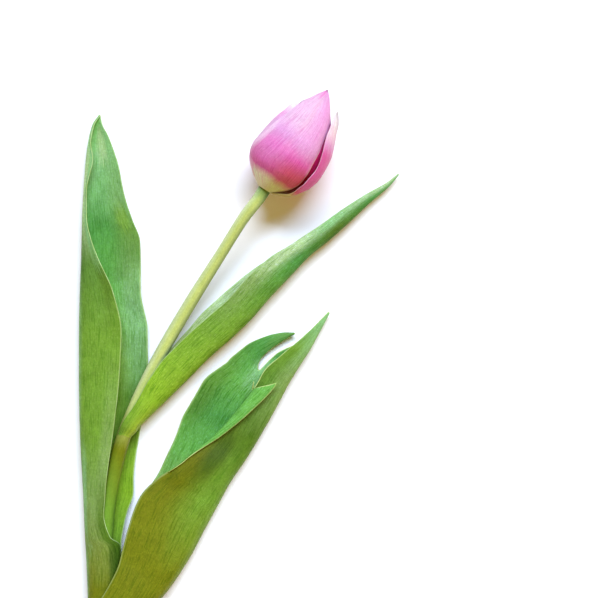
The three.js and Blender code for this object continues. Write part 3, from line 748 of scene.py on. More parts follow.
def vein_group():
    """Fine veins that run along a blade: inputs across and along, outputs masks and a height."""
    name = "Lengthwise veins"
    if name in bpy.data.node_groups:
        return bpy.data.node_groups[name]
    inputs = [(label, "Float", default)
              for label, default in (("Across", 0.0), ("Along", 0.0), ("Count", 60.0), ("Waver", 2.0))]
    outputs = [(label, "Float", None) for label in ("Fine", "Broad", "Fleck", "Height")]
    tree, n, given = new_tree(name, "ShaderNodeTree", inputs, outputs)
    across = n.math("MULTIPLY", given["Across"], given["Count"])
    along = n.math("MULTIPLY", given["Along"], given["Waver"])
    layers = []
    for spread, run, lift, detail in ((1.0, 1.0, 0.0, 3.0), (0.18, 1.0, 4.0, 2.0), (1.6, 5.0, 9.0, 2.0)):
        place = n.vector(X=n.math("MULTIPLY", across, spread), Y=n.math("MULTIPLY", along, run), Z=lift)
        layers.append(n.noise(place, 1.0, detail, 0.6))
    fine, broad, fleck = layers
    ridge = n.math("SINE", n.math("MULTIPLY", across, VEIN_TURN))
    height = n.math("ADD", n.math("MULTIPLY", ridge, 0.2), fine)
    n.add("NodeGroupOutput", {"Fine": fine, "Broad": broad, "Fleck": fleck, "Height": height})
    return tree


def patch_group():
    """A soft oval on a blade: inputs a place, a centre and half sizes, output a mask."""
    name = "Soft patch"
    if name in bpy.data.node_groups:
        return bpy.data.node_groups[name]
    labels = ("Across", "Along", "Centre across", "Centre along", "Half width", "Half length")
    tree, n, given = new_tree(name, "ShaderNodeTree", [(label, "Float", 0.5) for label in labels],
                              [("Mask", "Float", None)])
    squares = []
    for place, centre, half in (("Across", "Centre across", "Half width"),
                                ("Along", "Centre along", "Half length")):
        off = n.math("DIVIDE", n.math("SUBTRACT", given[place], given[centre]), given[half])
        squares.append(n.math("MULTIPLY", off, off))
    reach = n.math("SQRT", n.math("ADD", *squares))
    mask = n.add("ShaderNodeMapRange", {"Value": reach, "From Min": 1.0, "From Max": 0.3},
                 interpolation_type="SMOOTHSTEP")
    n.add("NodeGroupOutput", {"Mask": mask.outputs[0]})
    return tree


def grain_group():
    """Uneven tone of living skin: input a colour and amounts, output the mottled colour."""
    name = "Skin grain"
    if name in bpy.data.node_groups:
        return bpy.data.node_groups[name]
    inputs = [("Colour", "Color", None), ("Cloud", "Float", 0.3), ("Grain", "Float", 0.3)]
    tree, n, given = new_tree(name, "ShaderNodeTree", inputs, [("Colour", "Color", None)])
    colour = given["Colour"]
    for amount, scale, detail, low, high in (("Cloud", 160.0, 4.0, 0.75, 1.25),
                                             ("Grain", 1100.0, 3.0, 0.62, 1.42)):
        noise = n.object_noise(scale, detail, 0.62)
        tone = n.mix(1.0, colour, n.grey(noise, [(0.3, low), (0.7, high)], "LINEAR"), "MULTIPLY")
        colour = n.mix(given[amount], colour, tone)
    n.add("NodeGroupOutput", {"Colour": colour})
    return tree


def new_material(name):
    material = bpy.data.materials.new(name)
    material.use_nodes = True
    material.node_tree.nodes.clear()
    return material, Nodes(material.node_tree)


def finish_tissue(n, colour, relief, depth, roughness, through, glow):
    """Soft plant tissue: gloss from the skin and a share of light through the blade."""
    bump = n.add("ShaderNodeBump", {"Height": relief, "Distance": depth, "Strength": 0.6})
    skin = n.add("ShaderNodeBsdfPrincipled", {"Base Color": colour, "Roughness": roughness,
                                              "Normal": bump.outputs[0], "Specular IOR Level": 0.18,
                                              "Specular Tint": (1.0, 0.97, 0.62, 1)})
    lit = n.add("ShaderNodeBsdfTranslucent", {"Color": glow, "Normal": bump.outputs[0]})
    both = n.add("ShaderNodeMixShader", {0: through, 1: skin.outputs[0], 2: lit.outputs[0]})
    n.add("ShaderNodeOutputMaterial", {"Surface": both.outputs[0]})


def blade_coordinates(n):
    uv = n.add("ShaderNodeUVMap", uv_map="blade")
    parts = n.add("ShaderNodeSeparateXYZ", {0: uv.outputs[0]})
    return parts.outputs[0], parts.outputs[1]


def two_runs(n, across, along, veins, first, second, blend, patches):
    """Two runs of colour along a blade, blended across it, with soft patches drawn out by the veins."""
    fine, broad = (n.math("SUBTRACT", veins[label], 0.5) for label in ("Fine", "Broad"))
    side = n.math("ADD", across, n.math("MULTIPLY", fine, 0.04))
    run = n.math("ADD", along, n.math("MULTIPLY", n.math("ADD", fine, broad), 0.045))
    colour = n.mix(n.rise(side, *blend), n.shades(run, first), n.shades(run, second))
    for centre, half, weight, tone in patches:
        mask = n.group(patch_group(), Across=side, Along=run, Centre_across=centre[0], Centre_along=centre[1],
                       Half_width=half[0], Half_length=half[1])[0]
        colour = n.mix(n.math("MULTIPLY", mask, weight), colour, paint(tone))
    return colour


def streaked(n, colour, veins, contrast, dark, light, tint, pale):
    """Darker and paler threads along the veins."""
    for label, zero, one, weight, shade in (("Fine", 0.52, 0.36, dark, tint),
                                            ("Fleck", 0.5, 0.66, light, pale)):
        shade = [c ** contrast for c in shade]
        colour = n.mix(n.rise(veins[label], zero, one, weight), colour, n.tinted(colour, shade))
    return colour


def leaf_material(name, length, contrast, blend, first, second, patches=(), keel=None):
    """One face of a leaf: colour along its length and across its width, with fine veins.

    keel is the tone of the fold's ridge, its weight and its width.
    """
    material, n = new_material(name)
    across, along = blade_coordinates(n)
    veins = n.group(vein_group(), Across=across, Along=along, Count=LEAF_VEINS, Waver=length / LEAF_WAVER)
    colour = two_runs(n, across, along, veins, first, second, blend, patches)
    off = n.math("ABSOLUTE", n.math("SUBTRACT", n.math("MULTIPLY", across, 2.0), 1.0))
    if keel:
        ridge, weight, width = keel
        colour = n.mix(n.rise(off, width, 0.03, weight), colour, paint(ridge))
    colour = streaked(n, colour, veins, contrast, dark=0.75, light=0.65, tint=(0.6, 0.74, 0.47),
                      pale=(1.3, 1.18, 1.75))
    colour = n.group(grain_group(), Colour=colour, Cloud=0.4, Grain=0.35)[0]
    # the margin of a blade is a pale thread
    colour = n.mix(n.rise(off, 0.975, 0.995, 0.35), colour, srgb(190, 212, 140))
    finish_tissue(n, colour, veins["Height"], depth=0.00022, roughness=0.46, through=0.18,
                  glow=n.tinted(colour, (1.25, 1.15, 0.5)))
    return material


def petal_material(name, blend, first, second, patches=(), tip=None, thread=None):
    """One face of a petal: green foot, raspberry lower half, lilac upper half, a thread along a margin."""
    material, n = new_material(name)
    across, along = blade_coordinates(n)
    veins = n.group(vein_group(), Across=across, Along=along, Count=PETAL_VEINS, Waver=PETAL_WAVER)
    colour = two_runs(n, across, along, veins, first, second, blend, patches)
    colour = streaked(n, colour, veins, contrast=1.3, dark=0.65, light=0.65, tint=(0.9, 0.62, 0.82),
                      pale=(1.1, 1.3, 1.16))
    colour = n.group(grain_group(), Colour=colour, Cloud=0.15, Grain=0.18)[0]
    if thread:
        low, high, tone, weight = thread
        colour = n.mix(n.rise(across, low, high, weight, "LINEAR"), colour, paint(tone))
    if tip:
        colour = n.mix(n.rise(along, 0.972, 0.993, 0.75), colour, paint(tip))
    finish_tissue(n, colour, veins["Height"], depth=0.00018, roughness=0.42, through=0.12,
                  glow=n.tinted(colour, (1.0, 0.8, 0.85)))
    return material


def rim_material(name, colour, darker, foot=None, reach=(0.5, 0.64)):
    """The thin edge of a blade, uneven along its length, with its own tone towards the foot."""
    material, n = new_material(name)
    along = blade_coordinates(n)[1]
    cloud = n.noise(n.vector(X=n.math("MULTIPLY", along, 40.0)))
    tone = n.mix(n.grey(cloud, [(0.35, 0.0), (0.65, 0.8)]), colour, darker)
    if foot:
        tone = n.mix(n.rise(along, reach[1], reach[0]), tone, foot)
    finish_tissue(n, tone, cloud, depth=0.0001, roughness=0.5, through=0.15, glow=tone)
    return material


def stem_material():
    """Smooth green skin, streaked lengthwise, with a painted highlight on the side towards the light and
    painted shade on the side away from it.
    """
    material, n = new_material("Stem skin")
    along = n.add("ShaderNodeAttribute", attribute_name="along").outputs["Fac"]
    skin = n.add("ShaderNodeAttribute", attribute_name="skin").outputs["Vector"]
    shaded_flank = n.add("ShaderNodeSeparateXYZ", {0: skin}).outputs[0]
    place = n.add("ShaderNodeMapping", {"Vector": skin, "Scale": (5.0, 5.0, 22.0)})
    streak = n.noise(place.outputs[0], 1.0, 4.0, 0.65)
    run = n.math("ADD", along, n.math("MULTIPLY", n.math("SUBTRACT", streak, 0.5), 0.03))
    colour = n.shades(run, ((0, "lime"), (0.35, "leaf"), (0.46, "leaf"), (0.55, "olive"), (0.62, "celery"),
                            (0.97, "celery"), (0.99, "sage"), (1, "moss")))
    # painted highlight and painted shade on the upper stem: a pale bluish tint where the skin faces away from
    # the shaded side, a deeper tone where it faces towards it
    upper = n.rise(along, 0.58, 0.68)
    for low, high, tint in ((-0.1, -0.85, (1.2, 1.18, 2.1)), (0.3, 0.85, (0.66, 0.77, 1.1))):
        side = n.add("ShaderNodeMapRange", {"Value": shaded_flank, "From Min": low, "From Max": high})
        colour = n.mix(n.math("MULTIPLY", side.outputs[0], upper), colour, n.tinted(colour, tint))
    colour = n.mix(n.rise(streak, 0.6, 0.38, 0.35), colour, n.tinted(colour, (0.72, 0.8, 0.5)))
    colour = n.group(grain_group(), Colour=colour, Cloud=0.2, Grain=0.25)[0]
    finish_tissue(n, colour, streak, depth=0.00012, roughness=0.42, through=0.12,
                  glow=n.tinted(colour, (1.2, 1.1, 0.4)))
    return material


def simple_tissue(name, colour, darker, scale, roughness):
    material, n = new_material(name)
    cloud = n.object_noise(scale, 4.0)
    tone = n.mix(cloud, colour, darker)
    finish_tissue(n, tone, cloud, depth=0.0002, roughness=roughness, through=0.1, glow=tone)
    return material


def table_material(colour):
    material, n = new_material("Pale table")
    tone = n.mix(n.object_noise(6.0, 3.0), (*colour, 1), (0.93, 0.925, 0.94, 1))
    surface = n.add("ShaderNodeBsdfPrincipled", {"Base Color": tone, "Roughness": 0.7})
    n.add("ShaderNodeOutputMaterial", {"Surface": surface.outputs[0]})
    return material


# ---------------------------------------------------------------- geometry node trees
GEOMETRY = ("Geometry", "Geometry", None)


def finish_tree(n, given, geometry):
    """Makes the geometry real, gives it the material and hands it out."""
    real = n.add("GeometryNodeRealizeInstances", {"Geometry": geometry})
    coat = n.add("GeometryNodeSetMaterial", {"Geometry": real.outputs[0], "Material": given["Material"]})
    n.add("NodeGroupOutput", {"Geometry": coat.outputs[0]})


def tube_tree():
    """A tube along a curve, with its radius taken from the curve and capped ends."""
    inputs = (GEOMETRY, ("Step", "Float", 0.0012), ("Sides", "Int", 40), ("Material", "Material", None))
    tree, n, given = new_tree("Stem tube", "GeometryNodeTree", inputs, (GEOMETRY,))
    points = n.add("GeometryNodeResampleCurve", {"Curve": given["Geometry"], "Length": given["Step"]},
                   mode="LENGTH")
    share = n.add("GeometryNodeSplineParameter").outputs["Factor"]
    named = n.add("GeometryNodeStoreNamedAttribute", {"Geometry": points.outputs[0], "Name": "along",
                                                      "Value": share}, data_type="FLOAT")
    ring = n.add("GeometryNodeCurvePrimitiveCircle", {"Resolution": given["Sides"], "Radius": 1.0})
    radius = n.add("GeometryNodeInputRadius").outputs[0]
    tube = n.add("GeometryNodeCurveToMesh", {"Curve": named.outputs[0], "Profile Curve": ring.outputs[0],
                                             "Scale": radius, "Fill Caps": True})
    smooth = n.add("GeometryNodeSetShadeSmooth", {"Geometry": tube.outputs[0]})
    finish_tree(n, given, smooth.outputs[0])
    return tree


def ring_tree():
    """Copies of a piece stood round a ring, leaning outwards."""
    inputs = (GEOMETRY, ("Count", "Int", STAMEN_COUNT), ("Radius", "Float", STAMEN_RADIUS),
              ("Lean", "Float", STAMEN_LEAN), ("Material", "Material", None))
    tree, n, given = new_tree("Ring of stamens", "GeometryNodeTree", inputs, (GEOMETRY,))
    ring = n.add("GeometryNodeMeshCircle", {"Vertices": given["Count"], "Radius": given["Radius"]})
    index = n.add("GeometryNodeInputIndex")
    turn = n.math("MULTIPLY", n.math("DIVIDE", index.outputs[0], given["Count"]), 2 * math.pi)
    lean = n.vector(Y=given["Lean"], Z=turn)
    copies = n.add("GeometryNodeInstanceOnPoints", {"Points": ring.outputs[0], "Instance": given["Geometry"],
                                                    "Rotation": lean})
    finish_tree(n, given, copies.outputs[0])
    return tree


def baked(obj, tree, **values):
    """Runs a tree on an object, drops the object and keeps the result as a plain mesh."""
    modifier = obj.modifiers.new("Shape", "NODES")
    modifier.node_group = tree
    for item in tree.interface.items_tree:
        if item.in_out == "INPUT" and item.name in values:
            modifier[item.identifier] = values[item.name]
    depsgraph = bpy.context.evaluated_depsgraph_get()
    mesh = bpy.data.meshes.new_from_object(obj.evaluated_get(depsgraph))
    bpy.data.objects.remove(obj)
    return mesh


def link_mesh(name, mesh):
    mesh.name = name
    return linked(name, mesh)


def keep(obj, nodes):
    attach(obj, BODY)
    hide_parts(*nodes)

# ---------------------------------------------------------------- properties
class TulipStemSettings(bpy.types.PropertyGroup):
    foot_radius: FloatProperty(
        name="Foot radius", description="Radius of the stem at its cut end", default=0.0039,
        min=0.001, unit="LENGTH")
    head_radius: FloatProperty(
        name="Head radius", description="Radius of the stem under the flower", default=0.0033,
        min=0.001, unit="LENGTH")


class TulipLeafSettings(bpy.types.PropertyGroup):
    thickness: FloatProperty(
        name="Blade thickness", description="Thickness of a leaf along its middle", default=0.0008,
        min=0.0002, unit="LENGTH")
    ripple: FloatProperty(
        name="Ripple", description="Height of the small waves along a leaf's margins", default=0.0003,
        min=0.0, unit="LENGTH")
    rim_colour: FloatVectorProperty(
        name="Rim colour", description="Colour of the pale edge of the leaves", subtype="COLOR",
        default=(0.52, 0.72, 0.34), min=0.0, max=1.0)


class TulipBudSettings(bpy.types.PropertyGroup):
    thickness: FloatProperty(
        name="Petal thickness", description="Thickness of a petal along its middle", default=0.0007,
        min=0.0002, unit="LENGTH")


class TulipStageSettings(bpy.types.PropertyGroup):
    table_colour: FloatVectorProperty(
        name="Table colour", description="Colour of the table", subtype="COLOR",
        default=(0.92, 0.915, 0.93), min=0.0, max=1.0)
    key_power: FloatProperty(
        name="Key light", description="Power of the main soft light", default=1240.0, min=0.0, unit="POWER")
    fill_power: FloatProperty(
        name="Fill light", description="Power of the low light from the front", default=120.0, min=0.0,
        unit="POWER")
    side_power: FloatProperty(
        name="Side light", description="Power of the low light from the right", default=140.0, min=0.0,
        unit="POWER")
    room_light: FloatProperty(
        name="Room light", description="Strength of the warm light from all round", default=0.3, min=0.0)
    camera_height: FloatProperty(
        name="Camera height", description="Height of the camera above the table", default=CAMERA_HEIGHT,
        min=0.1, unit="LENGTH")


# ---------------------------------------------------------------- stem
# Share of the stem's length and its radius there, against the radius at the foot or under the flower.
NEAR_FOOT = ((0, 1), (0.4, 0.974), (0.55, 0.96))
NEAR_HEAD = ((0.62, 1.03), (0.8, 0.97), (0.9, 0.86), (0.97, 0.92), (1, 1))
# Rise above the end of the stem and radius of the receptacle that holds the petals, in millimetres.
RECEPTACLE = ((0.6, 3.5), (1.2, 4.2), (1.8, 4.9), (2.2, 5.2), (2.5, 5.2), (2.7, 4.4))
STEM_STEPS = 14


def catmull_rom(points, steps):
    """Centripetal curve through all the points."""
    points = np.asarray(points, float)
    ends = np.vstack([2 * points[0] - points[1], points, 2 * points[-1] - points[-2]])
    out = []
    for i in range(1, len(ends) - 2):
        p = ends[i - 1:i + 3]
        gaps = np.maximum(np.linalg.norm(np.diff(p, axis=0), axis=1), 1e-9)
        k = np.concatenate([[0], np.cumsum(gaps ** 0.5)])
        for t in np.linspace(k[1], k[2], steps, endpoint=False):
            row = p
            for gap in (1, 2):
                row = [((k[j + gap] - t) * row[j] + (t - k[j]) * row[j + 1]) / (k[j + gap] - k[j])
                       for j in range(4 - gap)]
            out.append((k[2] - t) / (k[2] - k[1]) * row[0] + (t - k[1]) / (k[2] - k[1]) * row[1])
    out.append(points[-1])
    return np.array(out)


def vertex_values(mesh, name):
    """One property of all vertices, as rows of three."""
    values = np.empty(len(mesh.vertices) * 3)
    mesh.vertices.foreach_get(name, values)
    return values.reshape(-1, 3)


def mark_skin(mesh, axis):
    """Stores the way each spot of a stem faces, towards its shaded side and upwards, and its place along the
    stem; the first drives the stem's painted shade and highlight.
    """
    shaded_flank = np.cross(axis, (0.0, 0.0, 1.0))
    normals, place = vertex_values(mesh, "normal"), vertex_values(mesh, "co")
    skin = np.column_stack([normals @ (shaded_flank / np.linalg.norm(shaded_flank)), normals[:, 2], place[:, 1] * 10])
    attribute = mesh.attributes.new("skin", "FLOAT_VECTOR", "POINT")
    attribute.data.foreach_set("vector", skin.ravel())


class TULIP_OT_stem(bpy.types.Operator):
    """Build the stem as a tube along its curved course"""

    bl_idname = "tulip.stem"
    bl_label = "Stem"

    def execute(self, context):
        settings = context.scene.tulip_stem
        axis = bud_axes()[1]
        points = catmull_rom((np.array(STEM_COURSE) - ORIGIN) * MM, STEM_STEPS)
        run = arc_lengths(points)
        shares = ([(place, share * settings.foot_radius) for place, share in NEAR_FOOT]
                  + [(place, share * settings.head_radius) for place, share in NEAR_HEAD])
        radius = smooth_column(*zip(*shares))(run / run[-1])
        rise, wide = np.array(RECEPTACLE).T
        points = np.vstack([points, (BUD_BASE - ORIGIN) * MM + axis * rise[:, None] * MM])
        radius = np.append(radius, wide * MM)
        curve = bpy.data.curves.new("stem_course", "CURVE")
        curve.dimensions = "3D"
        spline = curve.splines.new("POLY")
        spline.points.add(len(points) - 1)
        for target, point, r in zip(spline.points, points, radius):
            target.co = (*point, 1)
            target.radius = r
        mesh = baked(linked("stem_course", curve), tube_tree(), Material=stem_material())
        mark_skin(mesh, axis)
        keep(link_mesh("stem_skin", mesh), ["stem"])
        return {"FINISHED"}


# ---------------------------------------------------------------- leaf faces
# For each face of a leaf: its length in millimetres, the contrast of its threads, where across the blade
# the first run of tones gives way to the second, the two runs by place from foot to tip, then soft patches,
# each a centre, a half width and length, a weight and a tone, and the ridge of the fold.
LEAF_FACES = {
    "Left leaf, inner face": (
        285, 1.1, (0.72, 0.92),
        ((0.2, "leaf"), (0.34, "fresh"), (0.42, "leaf"), (0.56, "fresh"), (0.68, "mint"), (0.8, "cool"),
         (0.93, "bloom"), (1, "mint")),
        ((0.2, "leaf"), (0.32, "fresh"), (0.48, "deep"), (0.63, "bloom"), (0.79, "deep"), (0.94, "bloom")),
        (((0.77, 0.95), (0.14, 0.05), 0.6, "haze"), ((0.9, 0.815), (0.09, 0.035), 0.7, "leaf"))),
    "Left leaf, outer face": (
        285, 1.3, (0.08, 0.2),
        ((0.15, "shade"), (0.25, "moss"), (0.38, "sage"), (0.58, "leaf"), (0.71, "moss"), (0.8, "bloom")),
        ((0.15, "olive"), (0.3, "sage"), (0.42, "leaf"), (0.6, "leaf"), (0.73, "deep"), (0.87, "haze"),
         (1, "bloom")),
        (((0.38, 0.32), (0.08, 0.12), 0.8, "bloom"), ((0.1, 0.19), (0.1, 0.05), 0.6, "shade")),
        # the pale ridge of the fold is the leaf's waxy bloom together with a painted highlight where the fold
        # catches the light
        ("bloom", 0.7, 0.2)),
    "Upper leaf, inner face": (
        195, 1.4, (0.82, 0.93),
        ((0, "leaf"), (1, "mint")),
        ((0.2, "celery"), (0.42, "haze"), (0.55, "haze"))),
    "Upper leaf, outer face": (
        195, 1.9, (0.06, 0.32),
        # towards the tip the margin side turns pale, and the two patches are paler still: painted highlight
        # where the curled margin faces the light
        ((0, "leaf"), (0.14, "fresh"), (0.36, "leaf"), (0.52, "sage"), (0.67, "haze"), (0.78, "bloom"),
         (1, "haze")),
        ((0, "lime"), (0.12, "fresh"), (0.44, "leaf"), (0.65, "cool"), (0.78, "moss"), (0.9, "cool"),
         (1, "bloom")),
        (((0.13, 0.62), (0.07, 0.06), 0.5, "haze"), ((0.14, 0.78), (0.08, 0.07), 0.6, "bloom")),
        ("leaf", 0.5, 0.14)),
    "Right leaf, inner face": (
        231, 1.5, (0.3, 0.5),
        ((0.5, "mint"), (0.8, "mint"), (1, "fresh")),
        ((0.5, "sage"), (0.6, "mint"), (0.7, "cool"), (0.78, "mint"), (0.87, "cool"), (1, "sage")),
        # the pale patch at 0.74 across and 0.82 along is a painted highlight
        (((0.74, 0.82), (0.13, 0.055), 0.8, "bloom"), ((1, 0.74), (0.17, 0.16), 0.55, "moss"))),
    "Right leaf, outer face": (
        231, 1.1, (0.12, 0.38),
        ((0.24, "olive"), (0.46, "olive"), (0.6, "umber"), (0.78, "deep"), (0.9, "leaf"), (0.98, "bloom")),
        ((0.24, "olive"), (0.36, "olive"), (0.54, "leaf"), (0.69, "moss"), (0.84, "sage"), (0.97, "bloom")),
        # the dark patch at 0.22 across and 0.63 along is painted shade in the hollow beside the rolled margin
        (((0.22, 0.63), (0.13, 0.08), 0.8, "shade"), ((0.22, 0.36), (0.1, 0.16), 0.5, "olive")),
        ("sage", 0.4, 0.14)),
}


class TULIP_OT_leaves(bpy.types.Operator):
    """Build the three leaves with their folds, sheaths and torn tip"""

    bl_idname = "tulip.leaves"
    bl_label = "Leaves"

    def execute(self, context):
        settings = context.scene.tulip_leaves
        thickness, ripple = settings.thickness / MM, settings.ripple / MM
        rim = rim_material("Leaf rim", (*settings.rim_colour, 1), srgb(150, 178, 92))
        low_rim = rim_material("Right leaf rim", srgb(212, 228, 150), srgb(176, 200, 104), srgb(134, 142, 44))
        faces = [leaf_material(name, *look) for name, look in LEAF_FACES.items()]
        left = plain_leaf("leaf_left_blade", LEFT_LEAF, [*faces[:2], rim], side=1, rows=260, columns=24,
                          thickness=thickness, seed=0.7, ripple=ripple, stem_radius=3.95)
        upper = plain_leaf("leaf_upper_blade", UPPER_LEAF, [*faces[2:4], rim], side=-1, rows=190, columns=20,
                           thickness=thickness, seed=2.3, ripple=ripple * 0.8, stem_radius=3.5)
        right = torn_leaf("leaf_right_blade", [*faces[4:], low_rim], rows=220,
                          thickness=thickness, seed=4.1, ripple=ripple, stem_radius=4.0)
        keep(left, ["leaf_left"])
        keep(upper, ["leaf_upper"])
        keep(right, ["leaf_right"])
        return {"FINISHED"}


# ---------------------------------------------------------------- petal faces
# For each face of a petal: where the first run of tones gives way to the second, the two runs, soft
# patches, the tone of the tip, and a thread along a margin: its start and end across, tone and weight.
THROAT = ((0, "straw"), (0.05, "straw"), (0.16, "wine"), (0.27, "wine"), (0.5, "magenta"), (0.8, "rose"),
          (1, "blush"))
PETAL_FACES = {
    "Front petal, outer face": (
        (0.35, 0.78),
        ((0, "ivory"), (0.09, "ivory"), (0.15, "fuchsia"), (0.28, "rose"), (0.38, "rose"), (0.5, "orchid"),
         (0.62, "lilac"), (0.9, "lilac"), (1, "rose")),
        ((0, "cream"), (0.07, "cream"), (0.14, "raspberry"), (0.23, "raspberry"), (0.34, "fuchsia"),
         (0.46, "orchid"), (1, "orchid")),
        (((0, 0.4), (0.17, 0.26), 0.8, "blush"), ((1, 0.34), (0.12, 0.09), 0.8, "rose"),
         # the dark mauve mark on the left margin at 0.79 along is a painted shadow line where this margin
         # lies over the next petal
         ((0.34, 0.94), (0.1, 0.07), 0.7, "rose"), ((0, 0.79), (0.035, 0.045), 0.85, "mauve")),
        "mauve", (0.972, 0.99, "blush", 0.6)),
    "Right petal, outer face": (
        (0.15, 0.5),
        ((0, "straw"), (0.08, "straw"), (0.13, "raspberry"), (0.22, "fuchsia"), (0.58, "fuchsia"),
         (0.68, "orchid"), (0.78, "blush"), (0.93, "pearl"), (1, "ash")),
        ((0, "straw"), (0.1, "straw"), (0.17, "raspberry"), (0.4, "fuchsia"), (0.68, "lilac"), (1, "ash")),
        (), "ash"),
    "Left petal, outer face": (
        (0.5, 0.9),
        ((0, "ivory"), (0.14, "blush"), (0.24, "rose"), (0.42, "lilac"), (0.68, "lilac"), (0.8, "rose"),
         (0.94, "pearl")),
        ((0, "ivory"), (0.22, "rose"), (0.45, "lilac"), (0.7, "orchid"), (0.9, "blush"), (1, "pearl"))),
    "Petal, inner face": ((0.0, 1.0), THROAT, THROAT),
}


class TULIP_OT_petals(bpy.types.Operator):
    """Build the outer and inner petals of the closed bud"""

    bl_idname = "tulip.petals"
    bl_label = "Petals"

    def execute(self, context):
        thickness = context.scene.tulip_bud.thickness / MM
        *outside, inside = [petal_material(name, *look) for name, look in PETAL_FACES.items()]
        rim = rim_material("Petal rim", srgb(238, 196, 216), srgb(222, 150, 190), srgb(200, 190, 120),
                           (0.08, 0.2))
        # the left petal's rim is a darker mauve: a thin edge of the petal's own, darkened with painted shade
        # where it turns away from the light
        thin = rim_material("Petal rim, left", srgb(160, 116, 150), srgb(118, 84, 112))
        for name, outer in zip(TEPALS, [*outside, inside, inside, inside]):
            edge = thin if name == "tepal_outer_left" else rim
            keep(tepal_object(name, thickness, [outer, inside, edge]), [name])
        return {"FINISHED"}


# ---------------------------------------------------------------- organs inside the bud
# Height above the bud's base and radius, in millimetres.
PISTIL = ((3.0, 1.9), (6, 2.5), (12, 2.7), (19, 2.4), (22, 1.8), (24, 2.9), (25.6, 2.6), (26, 0.2))
PISTIL_RINGS = 60
PISTIL_LOBES = 3
LOBE_SWELL = 0.07
# Radius and height, in millimetres.
FILAMENT = ((0.6, 3.1), (0.6, 8), (0.52, 10.5), (0.45, 12.5), (0.1, 12.7))
ANTHER = ((0.1, 13.0), (0.9, 13.3), (1.25, 14.5), (1.4, 16), (1.4, 19), (1.3, 21), (0.9, 23.4), (0.1, 24.4))


def turned(outline, sides):
    """A turned shape about its own Y axis, from radius and height pairs in millimetres."""
    verts, faces, uvs = [], [], []
    for r, y in outline:
        for k in range(sides):
            turn = 2 * math.pi * k / sides
            verts.append((r * math.sin(turn), y, r * math.cos(turn)))
            uvs.append((k / sides, y / 60))
    for i in range(len(outline) - 1):
        for k in range(sides):
            a, b = i * sides + k, i * sides + (k + 1) % sides
            faces.append((a, b, b + sides, a + sides))
    last = (len(outline) - 1) * sides
    faces += [tuple(range(sides - 1, -1, -1)), tuple(range(last, last + sides))]
    return np.array(verts), faces, uvs


class TULIP_OT_organs(bpy.types.Operator):
    """Build the pistil and the ring of stamens inside the bud"""

    bl_idname = "tulip.organs"
    bl_label = "Pistil and stamens"

    def execute(self, context):
        green = simple_tissue("Pistil green", srgb(206, 214, 140), srgb(160, 180, 90),
                              scale=300.0, roughness=0.5)
        dusty = simple_tissue("Anther dust", srgb(58, 40, 62), srgb(24, 14, 28),
                              scale=1400.0, roughness=0.9)
        heights = np.linspace(PISTIL[0][0], PISTIL[-1][0], PISTIL_RINGS)
        verts, faces, uvs = turned(list(zip(smooth_column(*zip(*PISTIL))(heights), heights)), sides=36)
        lobes = np.cos(PISTIL_LOBES * np.arctan2(verts[:, 0], verts[:, 2]))
        verts[:, [0, 2]] *= (1 + LOBE_SWELL * lobes * smoothstep(4, 9, verts[:, 1]))[:, None]
        pistil = mesh_object("pistil_body", bud_to_part(verts), faces, uvs, [0] * len(faces), [green])
        keep(pistil, ["pistil"])
        tree = ring_tree()
        for name, outline, material, slot in (("filament", FILAMENT, green, "pistil"),
                                              ("anther", ANTHER, dusty, "anther")):
            verts, faces, uvs = turned(outline, sides=20)
            single = mesh_object(name + "_single", verts[:, [2, 0, 1]], faces, uvs, [0] * len(faces),
                                 [material], origin=0)
            mesh = baked(single, tree, Material=material)
            # the ring stands on Z; turn it by half a step and lay it along the bud's axis
            x, y, z = vertex_values(mesh, "co").T / MM
            half = math.pi / STAMEN_COUNT
            across = x * math.cos(half) - y * math.sin(half)
            aside = x * math.sin(half) + y * math.cos(half)
            laid = bud_to_part(np.column_stack([aside, z, across])) - ORIGIN
            mesh.vertices.foreach_set("co", (laid * MM).ravel())
            mesh.update()
            nodes = [f"{name}_{k}" for k in range(1, STAMEN_COUNT + 1)]
            keep(link_mesh(name + "s_ring", mesh), nodes)
        return {"FINISHED"}


# ---------------------------------------------------------------- stage
def add_light(name, place, size, power, colour):
    """A wide soft window that faces the flower."""
    light = bpy.data.lights.new(name, "AREA")
    light.shape = "RECTANGLE"
    light.size, light.size_y = size
    light.energy = power
    light.color = colour
    holder = linked(name, light)
    aim = np.array(LIGHT_AIM) - place
    holder.location = place
    yaw = math.atan2(aim[1], aim[0])
    pitch = math.acos(-aim[2] / np.linalg.norm(aim))
    holder.rotation_euler = (pitch, 0, yaw - math.pi / 2)
    holder.visible_camera = False


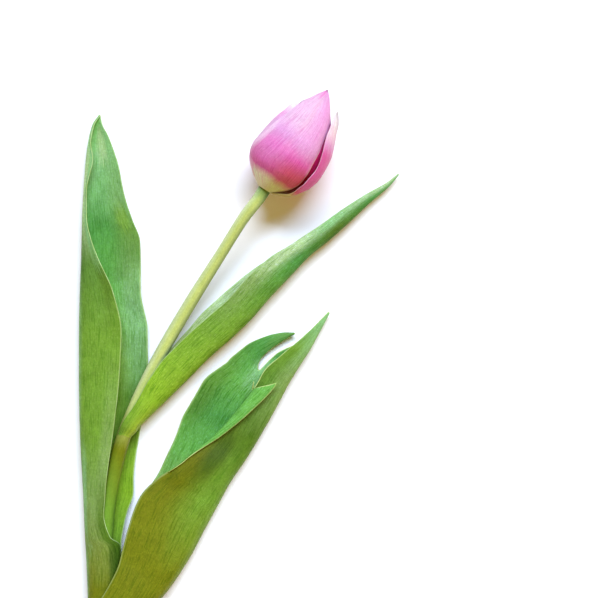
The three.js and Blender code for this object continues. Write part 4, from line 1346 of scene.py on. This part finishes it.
class TULIP_OT_stage(bpy.types.Operator):
    """Build the table, the soft lights and the camera straight above"""

    bl_idname = "tulip.stage"
    bl_label = "Stage"

    def execute(self, context):
        scene = context.scene
        settings = scene.tulip_stage
        corners = [(0, 0), (1, 0), (1, 1), (0, 1)]
        flat = [((2 * x - 1) * TABLE_REACH / MM, (2 * y - 1) * TABLE_REACH / MM, 0) for x, y in corners]
        table = mesh_object("table", flat, [(0, 1, 2, 3)], corners, [0],
                            [table_material(settings.table_colour)], origin=0)
        scene.view_settings.view_transform = "Standard"
        for name, place, size, colour in LIGHTS:
            add_light(name, place, size, getattr(settings, name + "_power"), colour)
        world = bpy.data.worlds.new("Soft room")
        world.use_nodes = True
        background = world.node_tree.nodes["Background"]
        background.inputs[0].default_value = ROOM_COLOUR
        background.inputs[1].default_value = settings.room_light
        scene.world = world
        camera = bpy.data.cameras.new("camera")
        camera.sensor_width = 36
        camera.lens = CAMERA_LENS * settings.camera_height / CAMERA_HEIGHT
        camera.clip_start = 0.01
        holder = linked("camera", camera)
        holder.location = (*CAMERA_PLACE, settings.camera_height)
        scene.camera = holder
        return {"FINISHED"}


# ---------------------------------------------------------------- add-on
SETTINGS = {"tulip_stem": TulipStemSettings, "tulip_leaves": TulipLeafSettings,
            "tulip_bud": TulipBudSettings, "tulip_stage": TulipStageSettings}


class TULIP_PT_panel(bpy.types.Panel):
    """Sidebar panel that lists the tulip's settings and builders"""

    bl_label = "Cut Tulip"
    bl_idname = "TULIP_PT_panel"
    bl_space_type = "VIEW_3D"
    bl_region_type = "UI"
    bl_category = "Tulip"

    def draw(self, context):
        builders = (("tulip.stem",), ("tulip.leaves",), ("tulip.petals", "tulip.organs"), ("tulip.stage",))
        for (group, settings), operators in zip(SETTINGS.items(), builders):
            box = self.layout.box()
            for name in settings.__annotations__:
                box.prop(getattr(context.scene, group), name)
            for operator in operators:
                box.operator(operator)


CLASSES = (*SETTINGS.values(), TULIP_OT_stem, TULIP_OT_leaves, TULIP_OT_petals, TULIP_OT_organs,
           TULIP_OT_stage, TULIP_PT_panel)


def register():
    for cls in CLASSES:
        bpy.utils.register_class(cls)
    for name, settings in SETTINGS.items():
        setattr(bpy.types.Scene, name, PointerProperty(type=settings))


def unregister():
    for name in SETTINGS:
        delattr(bpy.types.Scene, name)
    for cls in reversed(CLASSES):
        bpy.utils.unregister_class(cls)


def main():
    register()
    bpy.ops.tulip.stem()
    bpy.ops.tulip.leaves()
    bpy.ops.tulip.petals()
    bpy.ops.tulip.organs()
    bpy.ops.tulip.stage()
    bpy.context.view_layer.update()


if __name__ == "__main__":
    main()
